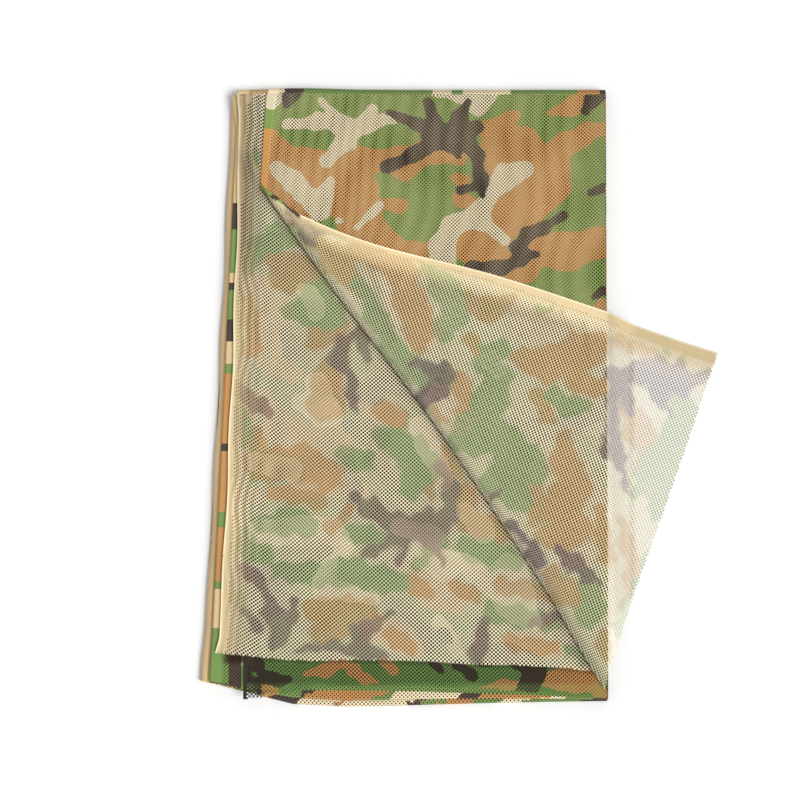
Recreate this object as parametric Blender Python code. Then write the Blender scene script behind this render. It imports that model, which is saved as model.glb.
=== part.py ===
"""Camouflage net: a cut length of printed mesh cloth, folded up and lying flat.

The cloth is folded in half along its length, with the print outside, so that
both selvedges lie on the left and one soft fold on the right. The doubled
cloth is then halved three times across. That makes eight plies of two layers,
with the two cut ends and some of the folds at the bottom edge, and the other
folds at the top edge. Last, the lower left corner of the top layer is turned
back along a diagonal and falls over the right-hand edge.
"""

from collections import namedtuple
from math import pi

import bmesh
import bpy
import numpy as np
from mathutils import Vector

# Driving dimensions, in metres. X runs to the right across the cloth, Y up
# along its length and Z upwards. A reach is measured from the right-hand fold
# to a selvedge.
CLOTH_THICKNESS = 0.0011
LAYER_PITCH = 0.0018
FOLD_STEPS = 5

RIGHT_FOLD_X = 0.4190
RIGHT_FOLD_LEAN = 0.0166

TURNED_FROM = Vector((-0.2690, 0.4125))
TURNED_TO = Vector((0.3990, -0.5750))
TURNED_RADIUS_FROM = 0.0060
TURNED_RADIUS_TO = 0.0025
TURNED_STEPS = 6
TURNED_BOW = 0.008
TURNED_BOW_WIDTH = 0.05
TURNED_SETTLE = 0.09
TURNED_REST = 0.0032
TURNED_SETTLE_CUTS = (0.02, 0.045, 0.07, 0.09, 0.13, 0.20)

DROOP_START = 0.003
DROOP_LENGTH = 0.062
DROOP_STEPS = 5

RIDGE_FROM_FOLD = 0.13
RIDGE_WIDTH = 0.06
RIDGE_HEIGHT = 0.0030

LOFT_SWELL = 0.03
LOFT_WAVE = (0.62, 0.90)
LOFT_CENTRE = (0.05, 0.10)

NET_COLOUR = (0.22, 0.25, 0.11, 1.0)
NET_ROUGHNESS = 0.8

# The plies' places in the pile, 0 lowest, in the order in which the cloth
# passes through them from one cut end to the other.
PLY_PLACES = (7, 0, 3, 4, 5, 2, 1, 6)

# Across the cloth, the mesh has columns at these distances from the
# right-hand fold, and along it rows at these places, the same in every layer.
COLUMNS = (0.03, 0.16, 0.30, 0.44, 0.56, 0.66)
ROWS = (-0.48, -0.26, -0.02, 0.22, 0.44, 0.58)

# Where the cloth is cut or turns, one row for each. The reaches are those of
# its first and second half. A line gives the place along Y at these distances
# from the right-hand fold.
LINE_AT = (0.0, 0.03, 0.25, 0.50, 0.66, 0.80)
Turn = namedtuple("Turn", "name first_reach second_reach first_line second_line")

TOP_OUTER = (0.6410, 0.6410, 0.6410, 0.6415, 0.6445, 0.6420)
TOP_INNER = (0.6410, 0.6410, 0.6410, 0.6410, 0.6410, 0.6410)
BOTTOM_OUTER = (-0.5965, -0.5968, -0.6005, -0.6060, -0.5920, -0.5600)
BOTTOM_INNER = (-0.5975, -0.5970, -0.5945, -0.5975, -0.5850, -0.5610)

TURNS = (
    Turn("top ply's cut end", 0.7325, 0.7757,
         (-0.5812, -0.5805, -0.5765, -0.5700, -0.5640, -0.5590),
         (-0.5812, -0.5460, -0.5330, -0.5240, -0.5210, -0.5070)),
    Turn("outermost fold at the top", 0.7072, 0.7698, TOP_OUTER, TOP_OUTER),
    Turn("outer fold at the bottom", 0.6900, 0.8040, BOTTOM_OUTER, BOTTOM_OUTER),
    Turn("innermost fold at the top", 0.7180, 0.7820, TOP_INNER, TOP_INNER),
    Turn("upper fold at the bottom", 0.7855, 0.7150, BOTTOM_INNER, BOTTOM_INNER),
    Turn("second fold at the top", 0.7650, 0.7350, TOP_INNER, TOP_INNER),
    Turn("inner fold at the bottom", 0.7450, 0.7550, BOTTOM_OUTER, BOTTOM_OUTER),
    Turn("third fold at the top", 0.7550, 0.7400, TOP_INNER, TOP_INNER),
    Turn("second ply's cut end", 0.7225, 0.7175,
         (-0.5970, -0.5960, -0.5880, -0.5820, -0.5810, -0.5800),
         (-0.5970, -0.5960, -0.5800, -0.5737, -0.5925, -0.6120)),
)

# How far each ply's second selvedge bends inwards halfway along it.
SELVEDGE_BOW = (0.012, 0.0, 0.0, 0.0, 0.0, 0.0, 0.0, 0.004)

half_pitch = LAYER_PITCH / 2
ply_pitch = 2 * LAYER_PITCH
fold_inset = half_pitch + CLOTH_THICKNESS / 2
turned_length = (TURNED_TO - TURNED_FROM).length
turned_along = (TURNED_TO - TURNED_FROM).normalized()
turned_inward = Vector((-turned_along.y, turned_along.x))

# Marks of the sheet's faces.
MARK = "part of the net"
PILE, TOP_LAYER, CORNER = range(3)
LEAST_EDGE = 0.0004


def ease(t):
    """0 before 0, 1 after 1, with a soft start and end between them."""
    t = np.clip(t, 0.0, 1.0)
    return t * t * (3 - 2 * t)


def smooth_line(places, values, at):
    """A smooth curve through the values, of cubic pieces. Its slope at each
    place is the harmonic mean of its neighbours' where they agree in sign,
    and else 0, so that it never swings past a value. The last piece is
    straight."""
    places = np.asarray(places)
    values = np.asarray(values)
    steps = np.diff(values) / np.diff(places)
    product = steps[:-1] * steps[1:]
    total = np.where(product > 0, steps[:-1] + steps[1:], 1.0)
    inner = np.where(product > 0, 2 * product / total, 0.0)
    slopes = np.concatenate((steps[:1], inner[:-1], steps[-1:], steps[-1:]))
    cell = np.clip(np.searchsorted(places, at) - 1, 0, len(places) - 2)
    width = places[cell + 1] - places[cell]
    t = np.clip((at - places[cell]) / width, 0.0, 1.0)
    start = values[cell] + t * width * slopes[cell]
    end = values[cell + 1] - (1 - t) * width * slopes[cell + 1]
    return start * (1 - ease(t)) + end * ease(t)


def ply_height(place):
    """The height of a ply's middle, between its two layers."""
    return CLOTH_THICKNESS / 2 + half_pitch + place * ply_pitch


def profile(first_reach, second_reach):
    """The doubled cloth's section: for each point, its distance from the
    right-hand fold, its offset from the ply's middle and its half.

    The first half runs from its selvedge to the fold, half a pitch above the
    ply's middle, the fold is a half circle, and the second half runs back.
    """
    angles = [pi * k / FOLD_STEPS for k in range(FOLD_STEPS + 1)]
    first = [(d, half_pitch) for d in (first_reach - fold_inset, *reversed(COLUMNS))]
    fold = [(-half_pitch * np.sin(a), half_pitch * np.cos(a)) for a in angles]
    second = [(d, -half_pitch) for d in (*COLUMNS, second_reach - fold_inset)]
    distance, offset = np.array(first + fold + second).T
    return distance, offset


profile_points = 2 * (len(COLUMNS) + 1) + FOLD_STEPS + 1
first_points = len(COLUMNS) + 1 + FOLD_STEPS // 2


def turn_line(turn, distance):
    """A turn's place along Y at each point of the section."""
    first = smooth_line(LINE_AT, turn.first_line, distance)
    second = smooth_line(LINE_AT, turn.second_line, distance)
    in_first_half = np.arange(profile_points) < first_points
    return np.where(in_first_half, first, second)


def section_x(distance, y):
    """X at a distance from the right-hand fold, which leans a little."""
    return RIGHT_FOLD_X + RIGHT_FOLD_LEAN * y - fold_inset - distance


def ply_rows(ply):
    """The rows of points along one ply, from its first turn to its next."""
    start, end = TURNS[ply], TURNS[ply + 1]
    upwards = ply % 2 == 0
    height = ply_height(PLY_PLACES[ply])
    low, high = (start, end) if upwards else (end, start)
    steps = [None, *ROWS, None]
    rows = []
    for index, level in enumerate(steps):
        share = index / (len(steps) - 1)
        bow = SELVEDGE_BOW[ply] * 4 * share * (1 - share)
        reach = [a + (b - a) * share for a, b in zip(low[1:3], high[1:3])]
        distance, offset = profile(reach[0], reach[1] - bow)
        edge = low if index == 0 else high
        y = turn_line(edge, distance) if level is None else np.full(profile_points, level)
        z = height + offset * (1 if upwards else -1)
        rows.append(np.column_stack((section_x(distance, y), y, z)))
    return rows if upwards else rows[::-1]


def fold_rows(ply):
    """The rows round the fold that joins a ply to the next, ends left out.

    Each layer goes round the fold's middle in a half circle.
    """
    turn = TURNS[ply + 1]
    upwards = ply % 2 == 0
    height = ply_height(PLY_PLACES[ply])
    next_height = ply_height(PLY_PLACES[ply + 1])
    middle = (height + next_height) / 2
    radius = abs(height - next_height) / 2
    from_above = 1 if height > next_height else -1
    facing = (1 if upwards else -1) * from_above
    distance, offset = profile(turn.first_reach, turn.second_reach)
    line = turn_line(turn, distance)
    rows = []
    for step in range(1, FOLD_STEPS):
        angle = pi * step / FOLD_STEPS
        out = radius + offset * facing
        y = line + out * np.sin(angle) * (1 if upwards else -1)
        z = middle + out * np.cos(angle) * from_above
        rows.append(np.column_stack((section_x(distance, line), y, z)))
    return rows


def folded_cloth():
    """The whole cloth as one sheet, from cut end to cut end, before its
    corner is turned back. A face layer marks the topmost layer's faces."""
    rows = []
    for ply in range(len(PLY_PLACES)):
        rows += ply_rows(ply)
        if ply + 1 < len(PLY_PLACES):
            rows += fold_rows(ply)
    sheet = bmesh.new()
    mark = sheet.faces.layers.int.new(MARK)
    grid = [[sheet.verts.new(point) for point in row] for row in rows]
    for r in range(len(grid) - 1):
        for c in range(profile_points - 1):
            corners = (grid[r][c], grid[r][c + 1], grid[r + 1][c + 1], grid[r + 1][c])
            face = sheet.faces.new(corners)
            on_top = r <= len(ROWS) and c <= len(COLUMNS)
            face[mark] = TOP_LAYER if on_top else PILE
    return sheet


def marked(sheet, least):
    """The faces whose mark is at least the one given."""
    mark = sheet.faces.layers.int[MARK]
    return [face for face in sheet.faces if face[mark] >= least]


def cut(sheet, least, place, across):
    """Cuts marked faces along the upright plane through a place, square to a
    direction."""
    faces = marked(sheet, least)
    parts = {part for face in faces for part in (*face.verts, *face.edges, face)}
    bmesh.ops.bisect_plane(
        sheet,
        geom=list(parts),
        dist=LEAST_EDGE,
        plane_co=(*place, 0.0),
        plane_no=(*across, 0.0),
    )


def turned_back(x, y, z):
    """Points of the top layer after its corner is turned back.

    Past the line where the turn starts, the cloth goes up round a half
    circle whose radius shrinks from one end of the line to the other, and
    comes back over itself. It settles from the turn's height to its rest,
    loosely on the layer below, with a low ridge along its way. The whole
    turn bends a little inwards halfway along it.
    """
    from_start = np.column_stack((x - TURNED_FROM.x, y - TURNED_FROM.y))
    tau = from_start @ np.array(turned_along)
    share = np.clip(tau / turned_length, 0.0, 1.0)
    radius = TURNED_RADIUS_FROM + (TURNED_RADIUS_TO - TURNED_RADIUS_FROM) * share
    past = radius - from_start @ np.array(turned_inward)
    angle = np.clip(past / radius, 0.0, pi)
    beyond = np.clip(past - pi * radius, 0.0, None)
    before = np.clip(past, None, 0.0)
    outward = before + radius * np.sin(angle) - beyond - radius
    settled = ease(beyond / TURNED_SETTLE)
    lifted = radius * (1 - np.cos(angle))
    ridge = RIDGE_HEIGHT * np.exp(-(((beyond - RIDGE_FROM_FOLD) / RIDGE_WIDTH) ** 2))
    lifted = lifted + settled * (TURNED_REST + ridge - lifted)
    bow = TURNED_BOW * (4 * share * (1 - share)) ** 2
    shift = bow * np.exp(-((past / TURNED_BOW_WIDTH) ** 2)) - outward
    new_x = TURNED_FROM.x + tau * turned_along.x + shift * turned_inward.x
    new_y = TURNED_FROM.y + tau * turned_along.y + shift * turned_inward.y
    return new_x, new_y, z + lifted


def drooped(x, y, z):
    """Points of the turned-back corner after it has fallen over the
    right-hand edge: from the pile's height down to the floor."""
    past_edge = x - (RIGHT_FOLD_X + RIGHT_FOLD_LEAN * y) - DROOP_START
    fallen = ease(past_edge / DROOP_LENGTH)
    return x, y, z + (CLOTH_THICKNESS / 2 - z) * fallen


def lofted(x, y, z):
    """Points of the pile after it has swelled unevenly: every height above
    the lowest layer grows or shrinks by the same share at one place."""
    wave_x = np.cos(2 * pi * (x - LOFT_CENTRE[0]) / LOFT_WAVE[0])
    wave_y = np.cos(2 * pi * (y - LOFT_CENTRE[1]) / LOFT_WAVE[1])
    floor = CLOTH_THICKNESS / 2
    return x, y, floor + (z - floor) * (1 + LOFT_SWELL * wave_x * wave_y)


def move_points(points, rule):
    """Moves points of the sheet as a rule for X, Y and Z says."""
    points = list(points)
    x, y, z = np.array([point.co for point in points]).T
    for point, place in zip(points, zip(*rule(x, y, z))):
        point.co = place


def turn_corner_back(sheet):
    """Turns the top layer's corner back and lets it fall over the edge.

    The layer is first cut, while it is flat, along the lines where it will
    bend. A line of the edge that the corner falls over is mirrored in the
    turn to find it on the flat layer.
    """
    for step in range(TURNED_STEPS + 1):
        past = pi * step / TURNED_STEPS - 1
        start = TURNED_FROM - turned_inward * TURNED_RADIUS_FROM * past
        end = TURNED_TO - turned_inward * TURNED_RADIUS_TO * past
        direction = (end - start).normalized()
        cut(sheet, TOP_LAYER, start, (-direction.y, direction.x))
    mark = sheet.faces.layers.int[MARK]
    for face in marked(sheet, TOP_LAYER):
        if (face.calc_center_median().xy - start) @ Vector((-direction.y, direction.x)) < 0:
            face[mark] = CORNER
    for distance in TURNED_SETTLE_CUTS:
        cut(sheet, CORNER, start - turned_inward * distance, turned_inward)
    mean_radius = (TURNED_RADIUS_FROM + TURNED_RADIUS_TO) / 2
    for step in range(DROOP_STEPS + 1):
        fallen = DROOP_START + DROOP_LENGTH * step / DROOP_STEPS
        place = Vector((RIGHT_FOLD_X + fallen, 0.0))
        depth = (place - TURNED_FROM) @ turned_inward + (pi / 2 - 1) * mean_radius
        across = Vector((1.0, -RIGHT_FOLD_LEAN))
        across -= turned_inward * (2 * across @ turned_inward)
        cut(sheet, CORNER, place - turned_inward * (2 * depth), across)
    edges = {edge for face in marked(sheet, TOP_LAYER) for edge in face.edges}
    bmesh.ops.dissolve_degenerate(sheet, dist=LEAST_EDGE, edges=list(edges))
    bmesh.ops.triangulate(sheet, faces=marked(sheet, TOP_LAYER))
    move_points({v for f in marked(sheet, TOP_LAYER) for v in f.verts}, turned_back)
    move_points({v for f in marked(sheet, CORNER) for v in f.verts}, drooped)


def net_material():
    """Printed mesh cloth: matt, and an olive mixed from its print."""
    material = bpy.data.materials.new("net")
    material.use_nodes = True
    shader = material.node_tree.nodes["Principled BSDF"]
    shader.inputs["Base Color"].default_value = NET_COLOUR
    shader.inputs["Roughness"].default_value = NET_ROUGHNESS
    shader.inputs["Metallic"].default_value = 0.0
    return material


def net():
    """The folded net as one closed sheet of cloth."""
    sheet = folded_cloth()
    turn_corner_back(sheet)
    move_points(sheet.verts, lofted)
    bmesh.ops.triangulate(sheet, faces=sheet.faces[:])
    mesh = bpy.data.meshes.new("net")
    sheet.to_mesh(mesh)
    sheet.free()
    piece = bpy.data.objects.new("net", mesh)
    bpy.context.collection.objects.link(piece)
    piece.data.materials.append(net_material())
    thickness = piece.modifiers.new("thickness", "SOLIDIFY")
    thickness.thickness = CLOTH_THICKNESS
    thickness.offset = 0.0
    thickness.use_quality_normals = True
    return piece


def stand_at_origin(piece):
    """Places a piece with the middle of its box's floor at the origin."""
    corners = np.array(piece.evaluated_get(bpy.context.evaluated_depsgraph_get()).bound_box)
    low, high = corners.min(axis=0), corners.max(axis=0)
    middle = (low + high) / 2
    piece.location = (-middle[0], -middle[1], -low[2])


for thing in list(bpy.data.objects):
    bpy.data.objects.remove(thing)
stand_at_origin(net())
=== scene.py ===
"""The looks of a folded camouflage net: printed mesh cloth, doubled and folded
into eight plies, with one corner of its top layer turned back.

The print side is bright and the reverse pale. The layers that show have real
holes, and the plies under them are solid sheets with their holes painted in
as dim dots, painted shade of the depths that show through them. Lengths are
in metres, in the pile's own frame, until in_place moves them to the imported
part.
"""
from collections import namedtuple
from math import pi, radians

import bpy
import numpy as np
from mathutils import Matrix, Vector


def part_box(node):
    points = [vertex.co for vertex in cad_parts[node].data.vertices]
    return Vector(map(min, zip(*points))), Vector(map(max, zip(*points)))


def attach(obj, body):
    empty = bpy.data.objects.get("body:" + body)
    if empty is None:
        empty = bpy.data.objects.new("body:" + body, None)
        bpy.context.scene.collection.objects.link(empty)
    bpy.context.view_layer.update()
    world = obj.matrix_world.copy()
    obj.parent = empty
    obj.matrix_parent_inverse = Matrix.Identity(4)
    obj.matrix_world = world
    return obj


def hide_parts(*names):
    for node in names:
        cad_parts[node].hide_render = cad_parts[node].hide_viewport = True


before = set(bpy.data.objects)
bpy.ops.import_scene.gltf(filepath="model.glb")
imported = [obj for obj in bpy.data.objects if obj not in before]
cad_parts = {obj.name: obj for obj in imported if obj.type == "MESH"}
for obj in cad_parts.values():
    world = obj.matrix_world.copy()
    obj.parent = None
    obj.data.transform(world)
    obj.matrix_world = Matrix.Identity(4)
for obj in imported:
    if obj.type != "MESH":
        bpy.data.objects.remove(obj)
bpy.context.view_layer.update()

# The camera looks down on the pile from a little below its lower edge, as one
# who stands before the table does. The pile's own middle is a hand's breadth
# left of the middle of the part's box.
PILE_LEFTMOST = -0.39441
PILE_LOWEST = -0.61532
CAMERA_TILT = radians(9.0)
CAMERA_DISTANCE = 3.2
CAMERA_LENS = 70.59

net_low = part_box("net")[0]
pile_x = net_low.x - PILE_LEFTMOST
pile_y = net_low.y - PILE_LOWEST


def placed(name, data):
    """A new object of the scene."""
    thing = bpy.data.objects.new(name, data)
    bpy.context.collection.objects.link(thing)
    return thing


camera = placed("camera", bpy.data.cameras.new("camera"))
camera.data.lens = CAMERA_LENS
camera.data.sensor_width = 36.0
camera.location = (
    pile_x,
    pile_y - CAMERA_DISTANCE * np.sin(CAMERA_TILT),
    CAMERA_DISTANCE * np.cos(CAMERA_TILT),
)
camera.rotation_euler = (CAMERA_TILT, 0.0, 0.0)
bpy.context.scene.camera = camera
bpy.context.scene.view_settings.view_transform = "Standard"

# A broad soft light from the lower right and a white room light the net, which
# lies on a plain white table top.
HALF_TABLE = 4.0
TABLE_COLOUR = (0.90, 0.90, 0.90, 1.0)
ROOM_LIGHT = 0.55
KEY_FROM = (0.85, -0.50, 1.0)
KEY_WIDTH = radians(34)
KEY_LIGHT = 2.6


def new_material(name):
    """A material and its node tree."""
    material = bpy.data.materials.new(name)
    material.use_nodes = True
    return material, material.node_tree


table_mesh = bpy.data.meshes.new("table")
table_corners = [(HALF_TABLE * x, HALF_TABLE * y, 0.0) for x, y in ((-1, -1), (1, -1), (1, 1), (-1, 1))]
table_mesh.from_pydata(table_corners, [], [(0, 1, 2, 3)])
table = placed("table", table_mesh)
table_finish, table_tree = new_material("white table top")
table_shader = table_tree.nodes["Principled BSDF"]
table_shader.inputs["Base Color"].default_value = TABLE_COLOUR
table_shader.inputs["Roughness"].default_value = 0.9
table_mesh.materials.append(table_finish)

key = bpy.data.lights.new("key light", "SUN")
key.angle = KEY_WIDTH
key.energy = KEY_LIGHT
key_light = placed("key light", key)
key_light.location = (pile_x + KEY_FROM[0], pile_y + KEY_FROM[1], KEY_FROM[2])
key_light.rotation_euler = Vector(KEY_FROM).to_track_quat("Z", "Y").to_euler()
room = bpy.data.worlds.new("white room")
room.use_nodes = True
room_inputs = room.node_tree.nodes["Background"].inputs
room_inputs["Color"].default_value = (1.0, 1.0, 1.0, 1.0)
room_inputs["Strength"].default_value = ROOM_LIGHT
bpy.context.scene.world = room


# The lower plies. The cloth is doubled along its length with the print
# outside, and the doubled cloth is folded back and forth into eight plies.
# This piece is all of it but the two upper plies' upper layers.
CLOTH_THICKNESS = 0.0011
LAYER_PITCH = 0.0018
FOLD_STEPS = 8
PLY_ROWS = 36
PLY_BOTTOM = -0.59
PLY_LENGTH = 1.231
RIGHT_FOLD_X = 0.4190
RIGHT_FOLD_LEAN = 0.0166
SELVEDGE_WIDTH = 0.028
LOFT_SWELL = 0.03
LOFT_WAVE = (0.62, 0.90)
LOFT_CENTRE = (0.05, 0.10)

# The plies' places in the pile, 0 lowest, in the cloth's own order, and the
# levels between which a ply's reach changes evenly. The selvedge of a ply's
# second half bows in by SELVEDGE_BOW, and two of them wave as well.
PLY_PLACES = (7, 0, 3, 4, 5, 2, 1, 6)
LEVELS = (-0.48, -0.26, -0.02, 0.22, 0.44, 0.58)
LINE_AT = (0.0, 0.03, 0.25, 0.50, 0.66, 0.80)
SELVEDGE_BOW = (0.012, 0.0, 0.006, 0.0, 0.0, 0.0, 0.0, 0.004)
SELVEDGE_WAVE = 0.0018
SELVEDGE_WAVE_PITCH = 0.27

# Where the cloth is cut or turns: the reach of its first and second half from
# the right-hand fold, and the line's place at the distances of LINE_AT.
Turn = namedtuple("Turn", "name first_reach second_reach first_line second_line")
TOP_OUTER = (0.6410, 0.6410, 0.6410, 0.6415, 0.6445, 0.6420)
TOP_INNER = (0.6410,) * 6
BOTTOM_OUTER = (-0.5965, -0.5968, -0.6005, -0.6060, -0.5920, -0.5600)
BOTTOM_INNER = (-0.5975, -0.5970, -0.5945, -0.5975, -0.5850, -0.5610)
TURNS = (
    Turn("top ply's cut end", 0.7325, 0.7757,
         (-0.5812, -0.5805, -0.5765, -0.5700, -0.5640, -0.5590),
         (-0.5812, -0.5460, -0.5330, -0.5240, -0.5210, -0.5070)),
    Turn("outermost fold at the top", 0.7072, 0.7698, TOP_OUTER, TOP_OUTER),
    Turn("outer fold at the bottom", 0.6900, 0.8040, BOTTOM_OUTER, BOTTOM_OUTER),
    Turn("innermost fold at the top", 0.7180, 0.7820, TOP_INNER, TOP_INNER),
    Turn("upper fold at the bottom", 0.7855, 0.7150, BOTTOM_INNER, BOTTOM_INNER),
    Turn("second fold at the top", 0.7650, 0.7350, TOP_INNER, TOP_INNER),
    Turn("inner fold at the bottom", 0.7450, 0.7550, BOTTOM_OUTER, BOTTOM_OUTER),
    Turn("third fold at the top", 0.7550, 0.7400, TOP_INNER, TOP_INNER),
    Turn("second ply's cut end", 0.7225, 0.7175,
         (-0.5970, -0.5960, -0.5880, -0.5820, -0.5810, -0.5800),
         (-0.5970, -0.5960, -0.5800, -0.5737, -0.5925, -0.6120)),
)
TOP_PLY, CURLED_PLY, BEIGE_PLY, STRIP_PLY, SECOND_PLY = 0, 2, 3, 4, 7

# The selvedge that lies furthest left is curled over into a soft round edge.
CURL_WIDTH = 0.020
CURL_HEIGHT = 0.0032
CURL_DROP = 0.0045

# The places of a half section's points: distances from the right-hand fold,
# and beside the selvedge distances from it.
FLAT_PLACES = np.linspace(0.02, 0.62, 7)
EDGE_PLACES = np.array((0.034, 0.026, 0.020, 0.016, 0.012, 0.008, 0.004, 0.0))

half_pitch = LAYER_PITCH / 2
ply_pitch = 2 * LAYER_PITCH
fold_inset = half_pitch + CLOTH_THICKNESS / 2
half_points = len(FLAT_PLACES) + len(EDGE_PLACES)
fold_points = FOLD_STEPS + 1
second_start = half_points + fold_points


def ease(t):
    """0 before 0, 1 after 1, with a soft start and end between them."""
    t = np.clip(t, 0.0, 1.0)
    return t * t * (3 - 2 * t)


def wave(value, pitch, start=0.0):
    """A sine along a value, with a pitch and the angle that it starts at."""
    return np.sin(2 * pi * value / pitch + start)


def smooth_line(places, values, at):
    """A smooth curve through the values, of cubic pieces whose slope at each
    place is the harmonic mean of its neighbours' or 0, so that it never
    swings past a value. The last piece is straight."""
    places = np.asarray(places)
    values = np.asarray(values)
    steps = np.diff(values) / np.diff(places)
    product = steps[:-1] * steps[1:]
    total = np.where(product > 0, steps[:-1] + steps[1:], 1.0)
    inner = np.where(product > 0, 2 * product / total, 0.0)
    slopes = np.concatenate((steps[:1], inner[:-1], steps[-1:], steps[-1:]))
    cell = np.clip(np.searchsorted(places, at) - 1, 0, len(places) - 2)
    width = places[cell + 1] - places[cell]
    t = np.clip((at - places[cell]) / width, 0.0, 1.0)
    start = values[cell] + t * width * slopes[cell]
    end = values[cell + 1] - (1 - t) * width * slopes[cell + 1]
    return start * (1 - ease(t)) + end * ease(t)


def ply_height(place):
    """The height of a ply's middle, between its two layers."""
    return CLOTH_THICKNESS / 2 + half_pitch + place * ply_pitch


def cloth_x(distance, y):
    """X at a distance from the right-hand fold, which leans a little."""
    return RIGHT_FOLD_X + RIGHT_FOLD_LEAN * y - fold_inset - distance


def reach_at(ply, second_half, y):
    """How far a half of a ply reaches from the right-hand fold at places
    along it: in even steps from level to level, less the selvedge's bow."""
    low, high = (TURNS[ply], TURNS[ply + 1])[:: 1 if ply % 2 == 0 else -1]
    first, last = low[1 + second_half], high[1 + second_half]
    ends = [smooth_line(LINE_AT, turn[3 + second_half], np.array([reach]))[0]
            for turn, reach in ((low, first), (high, last))]
    share = np.interp(y, (ends[0], *LEVELS, ends[1]), np.linspace(0, 1, len(LEVELS) + 2))
    waving = SELVEDGE_WAVE * (ply in (TOP_PLY, CURLED_PLY)) * wave(y, SELVEDGE_WAVE_PITCH, ply)
    bow = (SELVEDGE_BOW[ply] + waving) * second_half * 4 * share * (1 - share)
    return first + (last - first) * share - bow


def in_place(x, y, z):
    """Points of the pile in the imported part's frame, after the pile has
    swelled unevenly: heights above the lowest layer grow or shrink by a
    share that follows a slow wave over the pile."""
    wave_x = np.cos(2 * pi * (x - LOFT_CENTRE[0]) / LOFT_WAVE[0])
    wave_y = np.cos(2 * pi * (y - LOFT_CENTRE[1]) / LOFT_WAVE[1])
    floor = CLOTH_THICKNESS / 2
    swelled = floor + (z - floor) * (1 + LOFT_SWELL * wave_x * wave_y)
    return np.stack((x + pile_x, y + pile_y, swelled), axis=-1)


def section(first_reach, second_reach):
    """The doubled cloth's section: for each point, its distance from the
    right-hand fold, its offset from the ply's middle, its place across the
    cloth and its distance from the nearer selvedge. The first half runs from
    its selvedge to the fold, a half circle, and the second half runs back."""
    first = np.concatenate((FLAT_PLACES, first_reach - fold_inset - EDGE_PLACES))[::-1]
    second = np.concatenate((FLAT_PLACES, second_reach - fold_inset - EDGE_PLACES))
    angle = np.linspace(0, pi, fold_points)
    distance = np.concatenate((first, -half_pitch * np.sin(angle), second))
    level = np.full(half_points, half_pitch)
    offset = np.concatenate((level, half_pitch * np.cos(angle), -level))
    quarter = half_pitch * pi / 2
    across = np.concatenate((first + quarter, quarter - half_pitch * angle, -second - quarter))
    from_edge = np.concatenate((first[0] - first, np.full(fold_points, first[0]), second[-1] - second))
    return distance, offset, across, from_edge


def turn_line(turn, distance):
    """A turn's place along Y at each point of the section."""
    in_first_half = np.arange(len(distance)) < half_points + fold_points // 2
    first = smooth_line(LINE_AT, turn.first_line, distance)
    return np.where(in_first_half, first, smooth_line(LINE_AT, turn.second_line, distance))


def curled(from_edge, z):
    """Heights of the curled selvedge: it swells up in a half sine over its
    width and its edge falls away."""
    share = np.clip(1 - from_edge / CURL_WIDTH, 0.0, 1.0)
    return z + CURL_HEIGHT * np.sin(pi * share) - CURL_DROP * share**3


def pile_rows():
    """The whole cloth as rows of points, from cut end to cut end: for each
    row, X, Y, Z, the place across and along the cloth, the distance from the
    selvedge and the ply."""
    rows = []
    along = 0.0
    for ply, place in enumerate(PLY_PLACES):
        upwards = ply % 2 == 0
        facing = 1 if upwards else -1
        height = ply_height(place)
        start, end = TURNS[ply], TURNS[ply + 1]
        for share in np.linspace(0, 1, PLY_ROWS):
            rough_y = PLY_BOTTOM + PLY_LENGTH * (share if upwards else 1 - share)
            reaches = [float(reach_at(ply, half, rough_y)) for half in (0, 1)]
            distance, offset, across, from_edge = section(*reaches)
            y = turn_line(start, distance) * (1 - share) + turn_line(end, distance) * share
            z = height + offset * facing
            if ply == CURLED_PLY:
                z[second_start:] = curled(from_edge, z)[second_start:]
            cloth_along = along + PLY_LENGTH * share + 0 * y
            x = cloth_x(distance, y)
            rows.append((x, y, z, across, cloth_along, from_edge, ply + 0 * y))
        along += PLY_LENGTH
        if ply + 1 == len(PLY_PLACES):
            break
        next_height = ply_height(PLY_PLACES[ply + 1])
        radius = abs(height - next_height) / 2
        from_above = 1 if height > next_height else -1
        distance, offset, across, from_edge = section(end.first_reach, end.second_reach)
        line = turn_line(end, distance)
        for angle in np.linspace(0, pi, fold_points)[1:-1]:
            out = radius + offset * facing * from_above
            y = line + out * np.sin(angle) * facing
            z = (height + next_height) / 2 + out * np.cos(angle) * from_above
            cloth_along = along + radius * angle + 0 * y
            x = cloth_x(distance, line)
            rows.append((x, y, z, across, cloth_along, from_edge, ply + 0.5 + 0 * y))
        along += radius * pi
    return np.array(rows)


# The print's four inks, and the paler four on the reverse, each with the
# selvedge's colour and a deep colour of painted shade, towards which holes
# and cloth under other layers are blended.
Inks = namedtuple("Inks", "green brown sand black selvedge dark")
FACE_INKS = Inks(
    (122, 152, 84), (200, 146, 88), (240, 222, 184), (80, 68, 62), (226, 196, 148), (44, 30, 8))
REVERSE_INKS = Inks(
    (172, 194, 146), (216, 180, 130), (242, 226, 184), (140, 126, 124), (224, 194, 146), (34, 22, 6))
TONE_SCALE = 9.0
TONE_DEPTH = 0.10
YARN_SCALE = 900.0
YARN_DEPTH = 0.2
YARN_BUMP = 0.0004
HOLE_PITCH_ACROSS = 0.0078
HOLE_PITCH_ALONG = 0.0072

# The print of this piece comes from noise: patches, and twigs along the
# middle lines of two more noises. Each has its scale, seed and width.
Twigs = namedtuple("Twigs", "scale seed width")
PATCH_SCALE = 5.5
TWIGS = (Twigs(4.2, 3.0, 0.030), Twigs(4.8, 9.0, 0.026))
GROWTH_SCALE = 2.6

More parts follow.
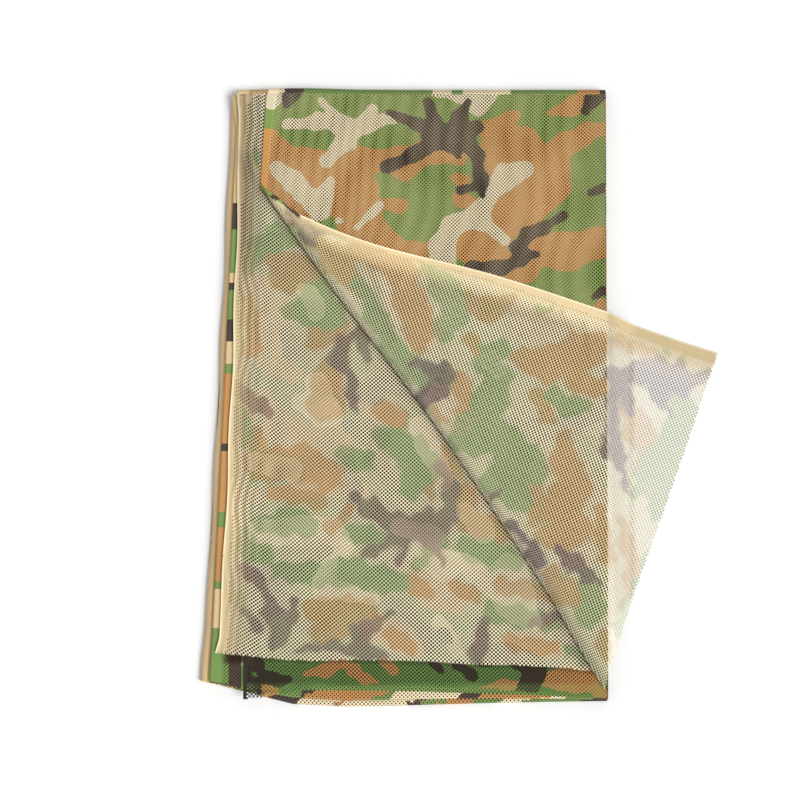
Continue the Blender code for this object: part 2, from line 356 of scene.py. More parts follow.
# Where each colour begins, in centimetres: up the strip that shows beside the
# selvedge at the left, and from left to right along the fold at the top and
# the upper and lower folds at the bottom.
STRIP_INKS = (
    (-65, "green"), (-46.3, "selvedge"), (-38.6, "green"), (-36.9, "brown"), (-26.3, "green"),
    (-23.3, "brown"), (-10.8, "black"), (-9.6, "brown"), (4.7, "green"), (6.8, "selvedge"),
    (11.5, "black"), (16.1, "green"), (22.3, "black"), (23.6, "selvedge"), (25.9, "green"),
    (34.8, "black"), (40.7, "selvedge"), (66, "selvedge"),
)
TOP_FOLD_INKS = (
    (-40, "selvedge"), (-27.5, "sand"), (-24.2, "black"), (-20.2, "green"), (6.5, "sand"),
    (10.5, "green"), (13.0, "sand"), (23.0, "green"), (37.0, "brown"), (41.5, "black"), (45, "black"),
)
UPPER_FOLD_INKS = (
    (-40, "black"), (-25.5, "green"), (-18.9, "black"), (-17.3, "brown"), (-2.9, "green"), (-1.0, "sand"),
    (12.2, "black"), (16.7, "brown"), (29.5, "sand"), (34.4, "green"), (39.3, "black"), (45, "black"),
)
LOWER_FOLD_INKS = (
    (-40, "black"), (-26.0, "brown"), (-23.6, "black"), (-17.1, "sand"), (-9.4, "brown"), (-7.5, "sand"),
    (3.9, "black"), (7.3, "green"), (10.8, "brown"), (16.1, "green"), (22.6, "sand"), (26.5, "green"),
    (37.7, "black"), (45, "black"),
)
FOLD_SLANT = -1.3
FOLD_LEVEL = -0.585
FOLD_UNEVEN = 0.08
FOLD_UNEVEN_SCALE = 38.0

# Where the colours change by place: pairs of places between which a share
# grows from 0 to 1, and for corners a pair along X and a pair along Y.
# UPPER_FOLD is in plies up the pile.
BOTTOM_FOLDS = (-0.560, -0.561)
UPPER_FOLD = (3.4, 3.6)
TOP_FOLD = (0.630, 0.631)
STRIP_INWARDS = (0.085, 0.080)
BEIGE_FROM = 0.20
BLACK_CORNER = ((-0.3385, -0.3375), (-0.495, -0.500))
GREEN_SLIVER = ((-0.328, -0.327), (-0.533, -0.534))
# Painted shade: the pile is darkened where the layers above cover it, between these places and leaning with
# the upper layers' selvedge, but not in the bare corner at the lower left.
BARE_CORNER = ((-0.305, -0.315), (-0.525, -0.535))
COVER_SHADE_ACROSS = ((-0.344, -0.330), (0.395, 0.375))
COVER_SHADE_ALONG = ((-0.575, -0.565), (0.630, 0.620))
COVER_SHADE_LEAN = 0.0215
COVER_SHADE_DEPTH = 0.93


def light_of(display):
    """The linear colour of a display colour in 256ths, as the sRGB curve
    gives it."""
    share = np.array(display) / 255
    linear = np.where(share <= 0.04045, share / 12.92, ((share + 0.055) / 1.055) ** 2.4)
    return (*linear, 1.0)


def feed(tree, socket, value):
    """Sets a node's input to a number or a display colour, or links another
    node's output to it."""
    if isinstance(value, bpy.types.NodeSocket):
        tree.links.new(value, socket)
    else:
        socket.default_value = light_of(value) if isinstance(value, tuple) else value


def maths(tree, operation, first, second=0.0):
    """A Math node's output."""
    node = tree.nodes.new("ShaderNodeMath")
    node.operation = operation
    feed(tree, node.inputs[0], first)
    feed(tree, node.inputs[1], second)
    return node.outputs[0]


def times(tree, first, second):
    """The product of two values."""
    return maths(tree, "MULTIPLY", first, second)


def less(tree, first, second):
    """The first value less the second."""
    return maths(tree, "SUBTRACT", first, second)


def edge_between(tree, value, low, high):
    """0 below low and 1 above high, evenly between them."""
    node = tree.nodes.new("ShaderNodeMapRange")
    feed(tree, node.inputs["Value"], value)
    node.inputs["From Min"].default_value = low
    node.inputs["From Max"].default_value = high
    return node.outputs["Result"]


def blend(tree, share, first, second):
    """One colour turning into another as a share goes from 0 to 1."""
    node = tree.nodes.new("ShaderNodeMix")
    node.data_type = "RGBA"
    feed(tree, node.inputs["Factor"], share)
    feed(tree, node.inputs["A"], first)
    feed(tree, node.inputs["B"], second)
    return node.outputs["Result"]


def clouds(tree, where, scale, detail=2.0, distortion=0.0):
    """A noise texture's value at a place."""
    node = tree.nodes.new("ShaderNodeTexNoise")
    feed(tree, node.inputs["Vector"], where)
    node.inputs["Scale"].default_value = scale
    node.inputs["Detail"].default_value = detail
    node.inputs["Distortion"].default_value = distortion
    return node.outputs["Fac"]


def split(tree, vector):
    """A vector's three parts."""
    node = tree.nodes.new("ShaderNodeSeparateXYZ")
    feed(tree, node.inputs[0], vector)
    return node.outputs


def in_corner(tree, x, y, limits):
    """1 where two values are both past their limits."""
    return times(tree, edge_between(tree, x, *limits[0]), edge_between(tree, y, *limits[1]))


def read(tree, name, output="Fac"):
    """An attribute of the piece."""
    node = tree.nodes.new("ShaderNodeAttribute")
    node.attribute_name = name
    return node.outputs[output]


def inked_cloth(tree, inks, brown, sand, black):
    """The print: green, with brown, sand and black laid over it in turn,
    each where its share is 1."""
    colour = blend(tree, brown, inks.green, inks.brown)
    colour = blend(tree, sand, colour, inks.sand)
    return blend(tree, black, colour, inks.black)


def finished(tree, colour):
    """Gives the cloth its colour with the uneven tone and fine bumps of
    knitted yarn, and a matt, slightly fuzzy surface."""
    spot = tree.nodes.new("ShaderNodeTexCoord").outputs["Object"]
    tone = edge_between(tree, clouds(tree, spot, TONE_SCALE), 0.3, 0.7)
    yarn = clouds(tree, spot, YARN_SCALE)
    even = maths(tree, "ADD", times(tree, tone, TONE_DEPTH), 1 - 0.8 * TONE_DEPTH)
    fine = maths(tree, "ADD", times(tree, yarn, YARN_DEPTH), 1 - 0.5 * YARN_DEPTH)
    value = tree.nodes.new("ShaderNodeHueSaturation")
    feed(tree, value.inputs["Value"], times(tree, even, fine))
    feed(tree, value.inputs["Color"], colour)
    bump = tree.nodes.new("ShaderNodeBump")
    bump.inputs["Strength"].default_value = 0.25
    bump.inputs["Distance"].default_value = YARN_BUMP
    feed(tree, bump.inputs["Height"], yarn)
    shader = tree.nodes["Principled BSDF"]
    feed(tree, shader.inputs["Base Color"], value.outputs["Color"])
    feed(tree, shader.inputs["Normal"], bump.outputs["Normal"])
    shader.inputs["Roughness"].default_value = 0.85
    shader.inputs["Specular IOR Level"].default_value = 0.25


def ramp(tree, value, stops, inks):
    """The inks in turn along a value in metres, each from its own place on,
    which is in centimetres."""
    first, last = stops[0][0], stops[-1][0]
    node = tree.nodes.new("ShaderNodeValToRGB")
    feed(tree, node.inputs["Fac"], edge_between(tree, value, first / 100, last / 100))
    node.color_ramp.interpolation = "CONSTANT"
    node.color_ramp.elements.remove(node.color_ramp.elements[1])
    for place, ink in stops:
        stop = node.color_ramp.elements.new((place - first) / (last - first))
        stop.color = light_of(getattr(inks, ink))
    return node.outputs["Color"]


def pile_finish(name, inks, reverse):
    """The cloth of the lower plies. Green and brown part where one noise
    crosses its middle, and sand and black twigs follow the middle lines of
    two others where a slower noise is high. Holes are painted in as dim dots,
    painted shade of the depths under them. The strip that shows at the left
    and the folds at the top and the bottom have colours by place, and what
    the layers above cover is darkened with painted shade."""
    material, tree = new_material(name)
    cloth = tree.nodes.new("ShaderNodeUVMap")
    cloth.uv_map = "cloth"
    where = cloth.outputs["UV"]
    brown = edge_between(tree, clouds(tree, where, PATCH_SCALE, 1.5, 0.4), 0.498, 0.502)
    twigs = []
    for twig in TWIGS:
        moved = tree.nodes.new("ShaderNodeVectorMath")
        feed(tree, moved.inputs[0], where)
        moved.inputs[1].default_value = (twig.seed, twig.seed, 0.0)
        line = maths(tree, "ABSOLUTE", less(tree, clouds(tree, moved.outputs[0], twig.scale, 1.5), 0.5))
        thin = edge_between(tree, line, twig.width, twig.width - 0.003)
        grown = edge_between(tree, clouds(tree, moved.outputs[0], GROWTH_SCALE, 1.0), 0.50, 0.51)
        twigs.append(times(tree, thin, grown))
    colour = inked_cloth(tree, inks, brown, *twigs)
    from_edge = read(tree, "from_edge")
    inner = edge_between(tree, from_edge, SELVEDGE_WIDTH - 0.006, SELVEDGE_WIDTH)
    spot = split(tree, tree.nodes.new("ShaderNodeTexCoord").outputs["Object"])
    x = less(tree, spot[0], pile_x)
    y = less(tree, spot[1], pile_y)
    if reverse:
        colour = blend(tree, inner, inks.selvedge, colour)
        colour = blend(tree, in_corner(tree, x, y, GREEN_SLIVER), colour, FACE_INKS.green)
    else:
        upper = edge_between(tree, spot[2], *(ply_height(place) for place in UPPER_FOLD))
        uneven = times(tree, less(tree, clouds(tree, where, FOLD_UNEVEN_SCALE, 1.0), 0.5), FOLD_UNEVEN)
        slanted = times(tree, less(tree, y, FOLD_LEVEL), FOLD_SLANT)
        along_fold = maths(tree, "ADD", maths(tree, "ADD", x, uneven), slanted)
        folds = [ramp(tree, along_fold, stops, inks) for stops in (LOWER_FOLD_INKS, UPPER_FOLD_INKS)]
        colour = blend(tree, edge_between(tree, y, *BOTTOM_FOLDS), colour, blend(tree, upper, *folds))
        at_left = ramp(tree, y, STRIP_INKS, inks)
        at_left = blend(tree, in_corner(tree, x, y, BLACK_CORNER), at_left, inks.black)
        strip = times(tree, read(tree, "strip"), edge_between(tree, from_edge, *STRIP_INWARDS))
        colour = blend(tree, strip, colour, at_left)
        colour = blend(tree, read(tree, "beige"), colour, inks.selvedge)
        colour = blend(tree, edge_between(tree, y, *TOP_FOLD), colour, ramp(tree, x, TOP_FOLD_INKS, inks))
    # Holes painted as dim dots, painted shade of the depths under them.
    dots = [maths(tree, "COSINE", times(tree, part, 2 * pi / pitch))
            for part, pitch in zip(split(tree, where), (HOLE_PITCH_ACROSS, HOLE_PITCH_ALONG))]
    hole = times(tree, edge_between(tree, times(tree, *dots), 0.15, 0.35), inner)
    colour = blend(tree, hole, colour, inks.dark)
    # Painted shade where the layers above cover the pile.
    across = in_corner(tree, less(tree, x, times(tree, y, COVER_SHADE_LEAN)), x, COVER_SHADE_ACROSS)
    covered = times(tree, across, in_corner(tree, y, y, COVER_SHADE_ALONG))
    depth = less(tree, COVER_SHADE_DEPTH, times(tree, in_corner(tree, x, y, BARE_CORNER), COVER_SHADE_DEPTH))
    finished(tree, blend(tree, times(tree, covered, depth), colour, inks.dark))
    return material


def store(mesh, name, kind, values):
    """Puts a value for each point of a mesh into an attribute."""
    field = "vector" if kind == "FLOAT_VECTOR" else "value"
    mesh.attributes.new(name, kind, "POINT").data.foreach_set(field, np.ravel(values).astype(np.float32))


def lower_plies():
    """The folded cloth as a grid of points, without the faces of the layers
    that have pieces of their own. Its faces point to the print side."""
    rows = pile_rows()
    height, width = rows.shape[0], rows.shape[2]
    x, y, z, across, along, from_edge, ply = rows.transpose(1, 0, 2)
    corner = np.arange(height * width).reshape(height, width)
    quads = np.stack((corner[:-1, :-1], corner[:-1, 1:], corner[1:, 1:], corner[1:, :-1]), axis=-1)
    row_ply = (ply[:-1, :-1] + ply[1:, 1:]) / 2
    column = np.broadcast_to(np.arange(width - 1), row_ply.shape)
    second = column >= second_start - 1
    on_fold = (column >= half_points) & ~second
    kept = ~((row_ply <= TOP_PLY) & ~on_fold) & ~((row_ply >= SECOND_PLY) & second)
    mesh = bpy.data.meshes.new("lower_plies")
    mesh.from_pydata(in_place(x, y, z).reshape(-1, 3), [], quads[kept].tolist())
    store(mesh, "from_edge", "FLOAT", from_edge)
    point = np.broadcast_to(np.arange(width), ply.shape)
    store(mesh, "strip", "FLOAT", (ply == STRIP_PLY) & (point < half_points))
    store(mesh, "beige", "FLOAT", (ply == BEIGE_PLY) & (point >= second_start) & (y > BEIGE_FROM))
    corners = np.empty(len(mesh.loops), int)
    mesh.loops.foreach_get("vertex_index", corners)
    place = np.stack((across, along), axis=-1).reshape(-1, 2)[corners]
    mesh.uv_layers.new(name="cloth").data.foreach_set("uv", place.ravel())
    mesh.shade_smooth()
    return mesh


pile = placed("lower_plies", lower_plies())
pile.data.materials.append(pile_finish("print side of the pile", FACE_INKS, False))
pile.data.materials.append(pile_finish("reverse of the pile", REVERSE_INKS, True))
thickness = pile.modifiers.new("thickness", "SOLIDIFY")
thickness.thickness = CLOTH_THICKNESS
thickness.offset = 0.0
thickness.material_offset = 1
thickness.material_offset_rim = 1
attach(pile, "root")
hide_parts("net")


# The second ply's upper layer, print side up, is seen through the layer above
# it and as a band along the lower edge. Its holes are real where only one
# layer covers it. Its right part, under two layers, is a coarse solid sheet.
# Under the layers above it is darkened with painted shade, the coarse sheet
# nearly to black.
# FIRST, SECOND and THIRD in names count the layers from the top.
SECOND_LAYER_HEIGHT = ply_height(6) + half_pitch
TURNED_FROM = np.array((-0.2690, 0.4125))
TURNED_TO = np.array((0.3990, -0.5750))
fold_length = np.linalg.norm(TURNED_TO - TURNED_FROM)
fold_along = (TURNED_TO - TURNED_FROM) / fold_length

Lattice = namedtuple("Lattice", "pitch_across pitch_along hole_width hole_height columns rows")
Outline = namedtuple("Outline", "ply half top_line end_line")
SECOND_PLY_OUTLINE = Outline(SECOND_PLY, 1, TOP_INNER, TURNS[8].second_line)
THIRD_LATTICE = Lattice(0.0079, 0.00725, 0.0044, 0.0039, (-50, 62), (-190, 190))
COARSE_LATTICE = Lattice(0.040, 0.036, 0.010, 0.010, (-12, 16), (-40, 42))
THIRD_SLOPE = -0.05
THIRD_WARP = ((0.002, 0.31, 0.0), (0.002, 0.27, 1.0))
THIRD_SELVEDGE = 0.007
OPEN_PAST_FOLD = 0.02
CUT_SHARE = 0.6
DEEP_SHADE = 0.48
DEEPEST_SHADE = 0.03
BAND_SHADE = 0.80
BAND_START = 0.004
BAND_STEP = 0.012
BESIDE_STEP = 0.010
# The selvedge's bead: a cream line, partly the bead's own yarn and partly a painted highlight of its raised
# roll.
BEAD_WIDTH = 0.0035
BEAD_STEP = 0.0006
BEAD_YARN_AND_HIGHLIGHT = (250, 236, 198)
FLAP_EDGE_FALL = 0.335
FLAP_EDGE_STEP = 0.02
SAG_DEPTH = 0.026
SAG_AT = -0.08
SAG_WIDTH = 0.20
SAG_FROM_FOLD = 0.05
# Painted shade under the turned corner.
UNDER_FLAP_SHADE = 0.36
TURNED_BOW = 0.008
LOWER_BOW = 0.012
LOWER_BOW_RISE = (0.15, 0.55)
LOWER_BOW_FALL = 0.2

# The print of this layer, drawn in centimetres: strokes of round points,
# each with its place and radius, joined up in turn. Strokes run into each
# other over SMOOTHING, outlines are uneven by WOBBLE, and an ink grows from
# none to all within PRINT_SOFTNESS of its outline, in centimetres too.
THIRD_INKS = Inks(
    (104, 142, 74), (206, 148, 88), (250, 228, 188), (58, 48, 42), (226, 196, 148), (34, 24, 8))
PRINT_SOFTNESS = 0.06
WOBBLE = 0.30
SMOOTHING = 0.5
THIRD_BROWN = (
    ((-26.6, -57.6, 0.8), (-24.8, -58.6, 0.9), (-25.2, -59.8, 0.8)),
    ((-18.5, -55, 0.7), (-15, -54.5, 1), (-12, -52.5, 1), (-9.5, -54, 1), (-6.5, -56, 0.9),
     (-4.5, -56.5, 0.5)), ((-3, -52.5, 1), (-1, -54.5, 0.8)),
    ((15, -59, 1), (20, -57.5, 1.2), (23, -57, 1)),
    ((29, -56, 1.6), (34, -56, 2.4), (40, -56, 2.6), (40, -60, 1.8)), ((5, -60, 1), (12, -60.5, 1.2)),
    ((-28, 56, 3), (-27, 45, 3)), ((-29, 24, 2), (-26, 18, 4), (-26, 9, 4), (-22, 5, 2)),
    ((-12, 3, 2), (-4, -2, 3), (-1, -4, 2)), ((-29, -1, 3), (-26, -4, 3), (-20, -6, 2)),
    ((-27, -9, 2), (-19, -9, 3), (-13, -9, 3), (-16, -15, 3), (-8, -19, 2)),
    ((-30, -20, 1.5), (-22, -19, 1.5), (-12, -18, 1.8)), ((6, -8, 1.6), (8, -12, 1.6)),
    ((15, -19, 1.6), (19, -23, 1.8)), ((3, -35, 3), (7, -39, 3.5), (12, -40, 3)),
    ((-5, -46, 3), (2, -49, 3)), ((22, -49, 2), (28, -49, 3), (32, -50, 2)),
)
THIRD_SAND = (
    ((-19, 22, 2), (-17, 18, 2)), ((-17, 3, 2.5), (-15, -3, 3), (-20, -1, 2)),
    ((-28, -27, 2.5), (-20, -27, 3), (-14, -27, 2.5), (-11, -30, 2)),
    ((-14, -33, 1.5), (-15, -38, 2.5), (-5, -40.5, 1)), ((22, -35, 3.5), (23, -41, 4), (26, -45, 2)),
    ((3, -31, 2), (9, -34, 3)), ((-29, -13, 2.2), (-22, -14.5, 2.4)), ((0, -26, 1.8), (7, -28, 2.2)),
    ((13, -23, 1.8), (17, -27, 2.4)), ((12, -33, 2), (18, -37, 2.6)), ((8, -45, 1.6), (12, -52, 1.2)),
    ((4, -6, 2.5), (9, -17, 2)),
)
THIRD_BLACK = (
    ((-32.5, -52, 1.0), (-28, -53, 1.4)), ((-31.5, -54, 1.7), (-30.5, -62, 1.7)),
    ((-29, -57, 1.5), (-28.5, -60, 1.3)), ((-27, -55.6, 1.1), (-24, -56.4, 1.1), (-22, -56, 0.7)),
    ((6.5, -53, 1), (8, -54.5, 0.6)), ((11.5, -53, 1.2), (14.5, -55.5, 0.9)),
    ((23, -52, 1.6), (27, -54, 2), (25, -58, 2), (24, -60, 1.5)), ((-14, -60, 1), (-19, -60.5, 1)),
    ((-26, 33, 2), (-25.5, 27, 1.3)), ((-23, 14, 1.5), (-22.5, 9, 1.4)),
    ((-11.5, 12, 1.4), (-12, 7, 1.4), (-9, 1, 1.8), (-5, 1.5, 2.3), (-1.5, 3, 2), (2, 0, 1.4)),
    ((-10, -6, 1.6), (-7, -7, 2.2), (-4, -8, 1.6), (-5, -13, 2), (-1, -18, 1.2)),
    ((-10.5, -12.5, 1.4), (-9, -19, 1.5), (-9.5, -23, 1.8)),
    ((-30, -34, 2.2), (-27, -37, 3), (-26, -41, 2.6), (-28.5, -46, 1.4), (-29, -50, 1)),
    ((-26, -36, 2.5), (-20, -35, 2), (-14.5, -30.5, 1)), ((-24, -41, 2), (-21.5, -41, 1.2)),
    ((-2, -40.5, 0.9), (2, -43, 1.1), (4, -46, 1.1), (6, -50, 1.2)), ((8.5, -47, 1.3), (9, -48, 1.3)),
    ((15.5, -45, 1.2), (16, -48, 2), (17, -52, 2)), ((20, -50, 1.4), (24, -52, 2)),
    ((29, -41, 1.6), (32, -46, 2), (36, -52, 2)),
)


def past_diagonal(x, y):
    """How far a point lies to the lower left of the diagonal fold's line."""
    return (x - TURNED_FROM[0]) * fold_along[1] - (y - TURNED_FROM[1]) * fold_along[0]


def fold_bow(share):
    """How far the diagonal fold bows to the upper right of its line, at a
    share of its length: a low even bow and a flat one in its lower part."""
    start, full = LOWER_BOW_RISE
    lower = ease((share - start) / (full - start)) * ease((1 - share) / LOWER_BOW_FALL)
    return TURNED_BOW * (4 * share * (1 - share)) ** 2 + LOWER_BOW * lower


def from_segment(x, y, start, end):
    """How far points lie from the line between two round points, and the
    radius at the nearest place, which changes evenly along the line."""
    (x0, y0, r0), (x1, y1, r1) = start, end
    run_x = x1 - x0
    run_y = y1 - y0
    t = np.clip(((x - x0) * run_x + (y - y0) * run_y) / (run_x**2 + run_y**2), 0, 1)
    return np.hypot(x - x0 - t * run_x, y - y0 - t * run_y), r0 + t * (r1 - r0)


def stroke_field(strokes, x, y, warp):
    """How deep each point lies inside a set of strokes, in centimetres, less
    than 0 outside. A stroke's depth at a point is its radius less the
    distance from its middle line, and depths join as a soft maximum. Slow
    waves make the outlines uneven, and warp bends the strokes."""
    x = x * 100
    y = y * 100
    x, y = (
        x + warp * (np.sin(1.1 * y + 0.5 * x) + 0.5 * np.sin(2.3 * y - 1.1 * x + 1)),
        y + warp * (np.sin(1.3 * x - 0.4 * y + 2) + 0.5 * np.sin(2.1 * x + 1.4 * y)),
    )
    total = np.full(x.shape, 1e-9)
    for stroke in strokes:
        for start, end in zip(stroke, stroke[1:]):
            away, radius = from_segment(x, y, start, end)
            total += np.exp(np.clip(radius - away, -8, 8) / SMOOTHING)
    uneven = np.sin(0.8 * x + 0.4 * y) * np.sin(0.7 * y - 0.3 * x + 1)
    uneven = uneven + 0.35 * np.sin(1.6 * x - 1.3 * y + 2)
    return SMOOTHING * np.log(total) + WOBBLE * uneven


def printed(charts, x, y, warp=0.0):
    """The three inks' depths at each point."""
    return np.stack([stroke_field(strokes, x, y, warp) for strokes in charts], axis=-1)


def holed_sheet(lattice, place, outline, side, past, solid, size_at):
    """A mesh net as a flat lattice of holes. Hole i of row j stands at
    (i + j % 2 / 2, j / 2) times the pitches, and is a hexagon of six corners
    of its own. Three four-sided and two three-sided faces join each hole to
    its neighbours, and two more fill a hole. place turns lattice places into
    flat ones. Faces are kept within the outline, on one side of the line that
    past is measured from. solid chooses the holes that are filled, and
    size_at gives a hole's share of its full size."""
    row, column = np.mgrid[slice(*lattice.rows), slice(*lattice.columns)]
    corner_u = lattice.hole_width / 2 * np.array((1.0, 0.5, -0.5, -1.0, -0.5, 0.5))
    corner_v = lattice.hole_height / 2 * np.array((0.0, 1.0, 1.0, 0.0, -1.0, -1.0))
    u = ((column + row % 2 / 2) * lattice.pitch_across)[..., None]
    v = (row * lattice.pitch_along / 2)[..., None]
    size = size_at(*place(u, v))
    x, y = place(u + size * corner_u, v + size * corner_v)
    corner = np.arange(x.size).reshape(x.shape)
    here = corner[:-2, 1:-1]
    shift = row[:-2, 1:-1] % 2
    across = np.arange(here.shape[1])[None, :] + 1
    up = np.arange(here.shape[0])[:, None] + 1
    upper_right = corner[up, across + shift]
    upper_left = corner[up, across + shift - 1]
    top = corner[2:, 1:-1]
    right, right_up, left_up, left, left_down, right_down = (here[..., k] for k in range(6))
    quads = [
        (right, upper_right[..., 4], upper_right[..., 3], right_up),
        (left_up, upper_left[..., 0], upper_left[..., 5], left),
        (right_up, top[..., 5], top[..., 4], left_up),
    ]
    triangles = [
        (right_up, upper_right[..., 3], top[..., 5]),
        (left_up, top[..., 4], upper_left[..., 0]),
    ]
    lids = [(right, right_up, left_up, left), (left, left_down, right_down, right)]
    filled = solid(x.mean(axis=-1), y.mean(axis=-1))[:-2, 1:-1]
    quads = [np.stack(each, axis=-1).reshape(-1, 4) for each in quads]
    quads += [np.stack(each, axis=-1)[filled] for each in lids]
    triangles = [np.stack(each, axis=-1).reshape(-1, 3) for each in triangles]
    x = x.ravel()
    y = y.ravel()
    groups = [np.concatenate(each) for each in (quads, triangles)]
    groups = [faces[within(outline, x[faces], y[faces])] for faces in groups]
    groups = [faces[side * past(x[faces], y[faces]).mean(axis=-1) >= 0] for faces in groups]
    used, renamed = np.unique(np.concatenate([faces.ravel() for faces in groups]), return_inverse=True)
    quads = renamed[:groups[0].size].reshape(-1, 4)
    triangles = renamed[groups[0].size:].reshape(-1, 3)
    x, y = held_to(outline, x[used], y[used])
    return x, y, quads.tolist() + triangles.tolist()


def half_edge(ply, half, y):
    """X of the selvedge of the first (0) or second (1) half of a ply."""
    return RIGHT_FOLD_X + RIGHT_FOLD_LEAN * y - reach_at(ply, half, y)


def turn_at(line, x, y):
    """Y of a turn's line over the points."""
    return smooth_line(LINE_AT, line, np.clip(cloth_x(0.0, y) - x, 0, LINE_AT[-1]))


def within(outline, x, y):
    """Which faces lie inside the sides and the fold at the top with some
    corner, and inside the cut end with most."""
    left = half_edge(outline.ply, outline.half, y)
    sides = (x > left) & (x < cloth_x(0.0, y)) & (y < turn_at(outline.top_line, x, y))
    above_end = y > turn_at(outline.end_line, x, y)
    return sides.any(axis=-1) & (above_end.mean(axis=-1) > CUT_SHARE)


def held_to(outline, x, y):
    """Moves points past the sides or the fold at the top onto them."""
    x = np.clip(x, half_edge(outline.ply, outline.half, y), cloth_x(0.0, y))
    return x, np.minimum(y, turn_at(outline.top_line, x, y))


def add_layer(name, x, y, z, faces, facts, finishes, flipped=False):
    """A layer of the net as a mesh, with its facts as attributes, 0 where
    there are none. Its cloth's area is what is left between the holes. Where
    the cloth is rolled over, its faces take the second finish."""
    mesh = bpy.data.meshes.new(name)
    mesh.from_pydata(in_place(x, y, z), [], faces)
    if flipped:
        mesh.flip_normals()
    store(mesh, "print", "FLOAT_VECTOR", facts["print"])
    for fact in ("plain_and_shade_tint", "edge", "beaded", "shade"):
        store(mesh, fact, "FLOAT", facts.get(fact, 0 * x))
    for finish in finishes:
        mesh.materials.append(finish)
    if "rolled" in facts:
        starts = np.empty(len(mesh.polygons), int)
        mesh.polygons.foreach_get("loop_start", starts)
        corners = np.empty(len(mesh.loops), int)
        mesh.loops.foreach_get("vertex_index", corners)
        mesh.polygons.foreach_set("material_index", facts["rolled"][corners[starts]].astype(int))
    mesh.shade_smooth()
    areas = np.empty(len(mesh.polygons))
    mesh.polygons.foreach_get("area", areas)
    layer = placed(name, mesh)
    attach(layer, "root")
    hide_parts("net")


def layer_finish(name, inks, softness):
    """The printed cloth of a layer whose print is drawn: each ink's depth is
    stored in its points, and the ink grows from none to all within the
    softness, in centimetres, about 0. The selvedge has a light bead along its
    edge, partly its yarn's cream and partly a painted highlight of its raised
    roll, and what other layers cover is darker by its shade, which is painted
    shade."""
    material, tree = new_material(name)
    depths = split(tree, read(tree, "print", "Vector"))
    colour = inked_cloth(tree, inks, *(edge_between(tree, depth, -softness, softness) for depth in depths))
    colour = blend(tree, read(tree, "plain_and_shade_tint"), colour, inks.selvedge)
    # The bead's cream line, partly a painted highlight.
    bead = edge_between(tree, read(tree, "edge"), BEAD_WIDTH + BEAD_STEP, BEAD_WIDTH - BEAD_STEP)
    colour = blend(tree, times(tree, bead, read(tree, "beaded")), colour, BEAD_YARN_AND_HIGHLIGHT)
    # Painted shade: the shade fact blends the cloth towards the inks' shade colour.
    colour = blend(tree, read(tree, "shade"), inks.dark, colour)
    finished(tree, colour)
    return material


def sagging(x):
    """The share of the sag in the turned corner's upper edge, a bell."""
    return np.exp(-(((x - SAG_AT) / SAG_WIDTH) ** 2))


def under_flap(x, y):
    """1 under the turned corner and 0 beyond its upper edge, with a soft
    step between them. The edge runs from the corner to its tip and sags."""
    edge = TURNED_FROM[1] - FLAP_EDGE_STEP - (x - TURNED_FROM[0]) * FLAP_EDGE_FALL
    edge = edge - SAG_DEPTH * sagging(x)
    return ease((edge - y) / FLAP_EDGE_STEP) * (past_diagonal(x, y) < 0)


def warped(u, v, waves):
    """Places moved across by a wave along the cloth and along it by a wave
    across it, each with its reach, pitch and start."""
    (reach, pitch, start), (reach_along, pitch_across, start_across) = waves
    return u + reach * wave(v, pitch, start), v + reach_along * wave(u, pitch_across, start_across)


def third_place(u, v):
    """Where this layer has a place of its cloth: its rows slope a little."""
    x, y = warped(u, v, THIRD_WARP)
    return x, y + THIRD_SLOPE * u


third_finish = layer_finish("print side of the second ply", THIRD_INKS, PRINT_SOFTNESS)
for name, lattice, side in (
    ("second_ply_open", THIRD_LATTICE, 1),
    ("second_ply_covered", COARSE_LATTICE, -1),
):
    x, y, faces = holed_sheet(
        lattice, third_place, SECOND_PLY_OUTLINE, side,
        lambda x, y: past_diagonal(x, y) + OPEN_PAST_FOLD,
        lambda x, y: (x - half_edge(SECOND_PLY, 1, y) < THIRD_SELVEDGE) | (side < 0),
        lambda x, y: 1.0 + 0 * x,
    )
    # Painted shade under the layers above; the band that shows is darkened less.
    under_layers_shade = DEEP_SHADE if side > 0 else DEEPEST_SHADE
    uncovered = ease((turn_at(TURNS[0].second_line, x, y) + BAND_START - y) / BAND_STEP)
    beside = ease((half_edge(TOP_PLY, 1, y) - x) / BESIDE_STEP)
    facts = {
        "print": printed((THIRD_BROWN, THIRD_SAND, THIRD_BLACK), x, y),
        "shade": np.maximum(under_layers_shade, BAND_SHADE * np.maximum(uncovered, beside)),
    }
    add_layer(name, x, y, 0 * x + SECOND_LAYER_HEIGHT, faces, facts, [third_finish])


# The top ply's lower layer, with its reverse up: all of the lower left of the
# net, and under the top layer at the upper right. Both parts have holes. The
# cloth is rippled along its selvedge. Under the top layer it is darkened with
# painted shade, more so under the turned corner, and tinted towards the
# selvedge's tan as a warm painted shade.
UPPER_HEIGHT = ply_height(7)
LOWER_LAYER_OUTLINE = Outline(TOP_PLY, 1, TOP_OUTER, TURNS[0].second_line)
SECOND_LATTICE = Lattice(0.0080, 0.00745, 0.0051, 0.0045, (-50, 58), (-150, 210))
PULL_AT_SELVEDGE = 0.30
PULL_WIDTH = 0.16
PULL_ACROSS = 0.05
PULL_FROM = -0.351
PULL_TO = 1.169
SECOND_WARP = ((0.002, 0.37, 2.0), (0.0015, 0.21, 0.0))
LAYER_STEP = 0.008
COVERED_SHADE = 0.56
COVERED_SHADE_TINT = 0.60
SECOND_SELVEDGE_AT = (-0.60, -0.30, 0.0, 0.60)
SECOND_SELVEDGE = (0.020, 0.015, 0.009, 0.005)
SMALLEST_HOLE = 0.55
SMALL_HOLES_WIDTH = 0.045
UPPER_LEFT_HOLES = 0.70
PLAIN_EDGE = 0.85
PLAIN_WIDTH = 0.05
RIPPLE_HEIGHT = 0.0011
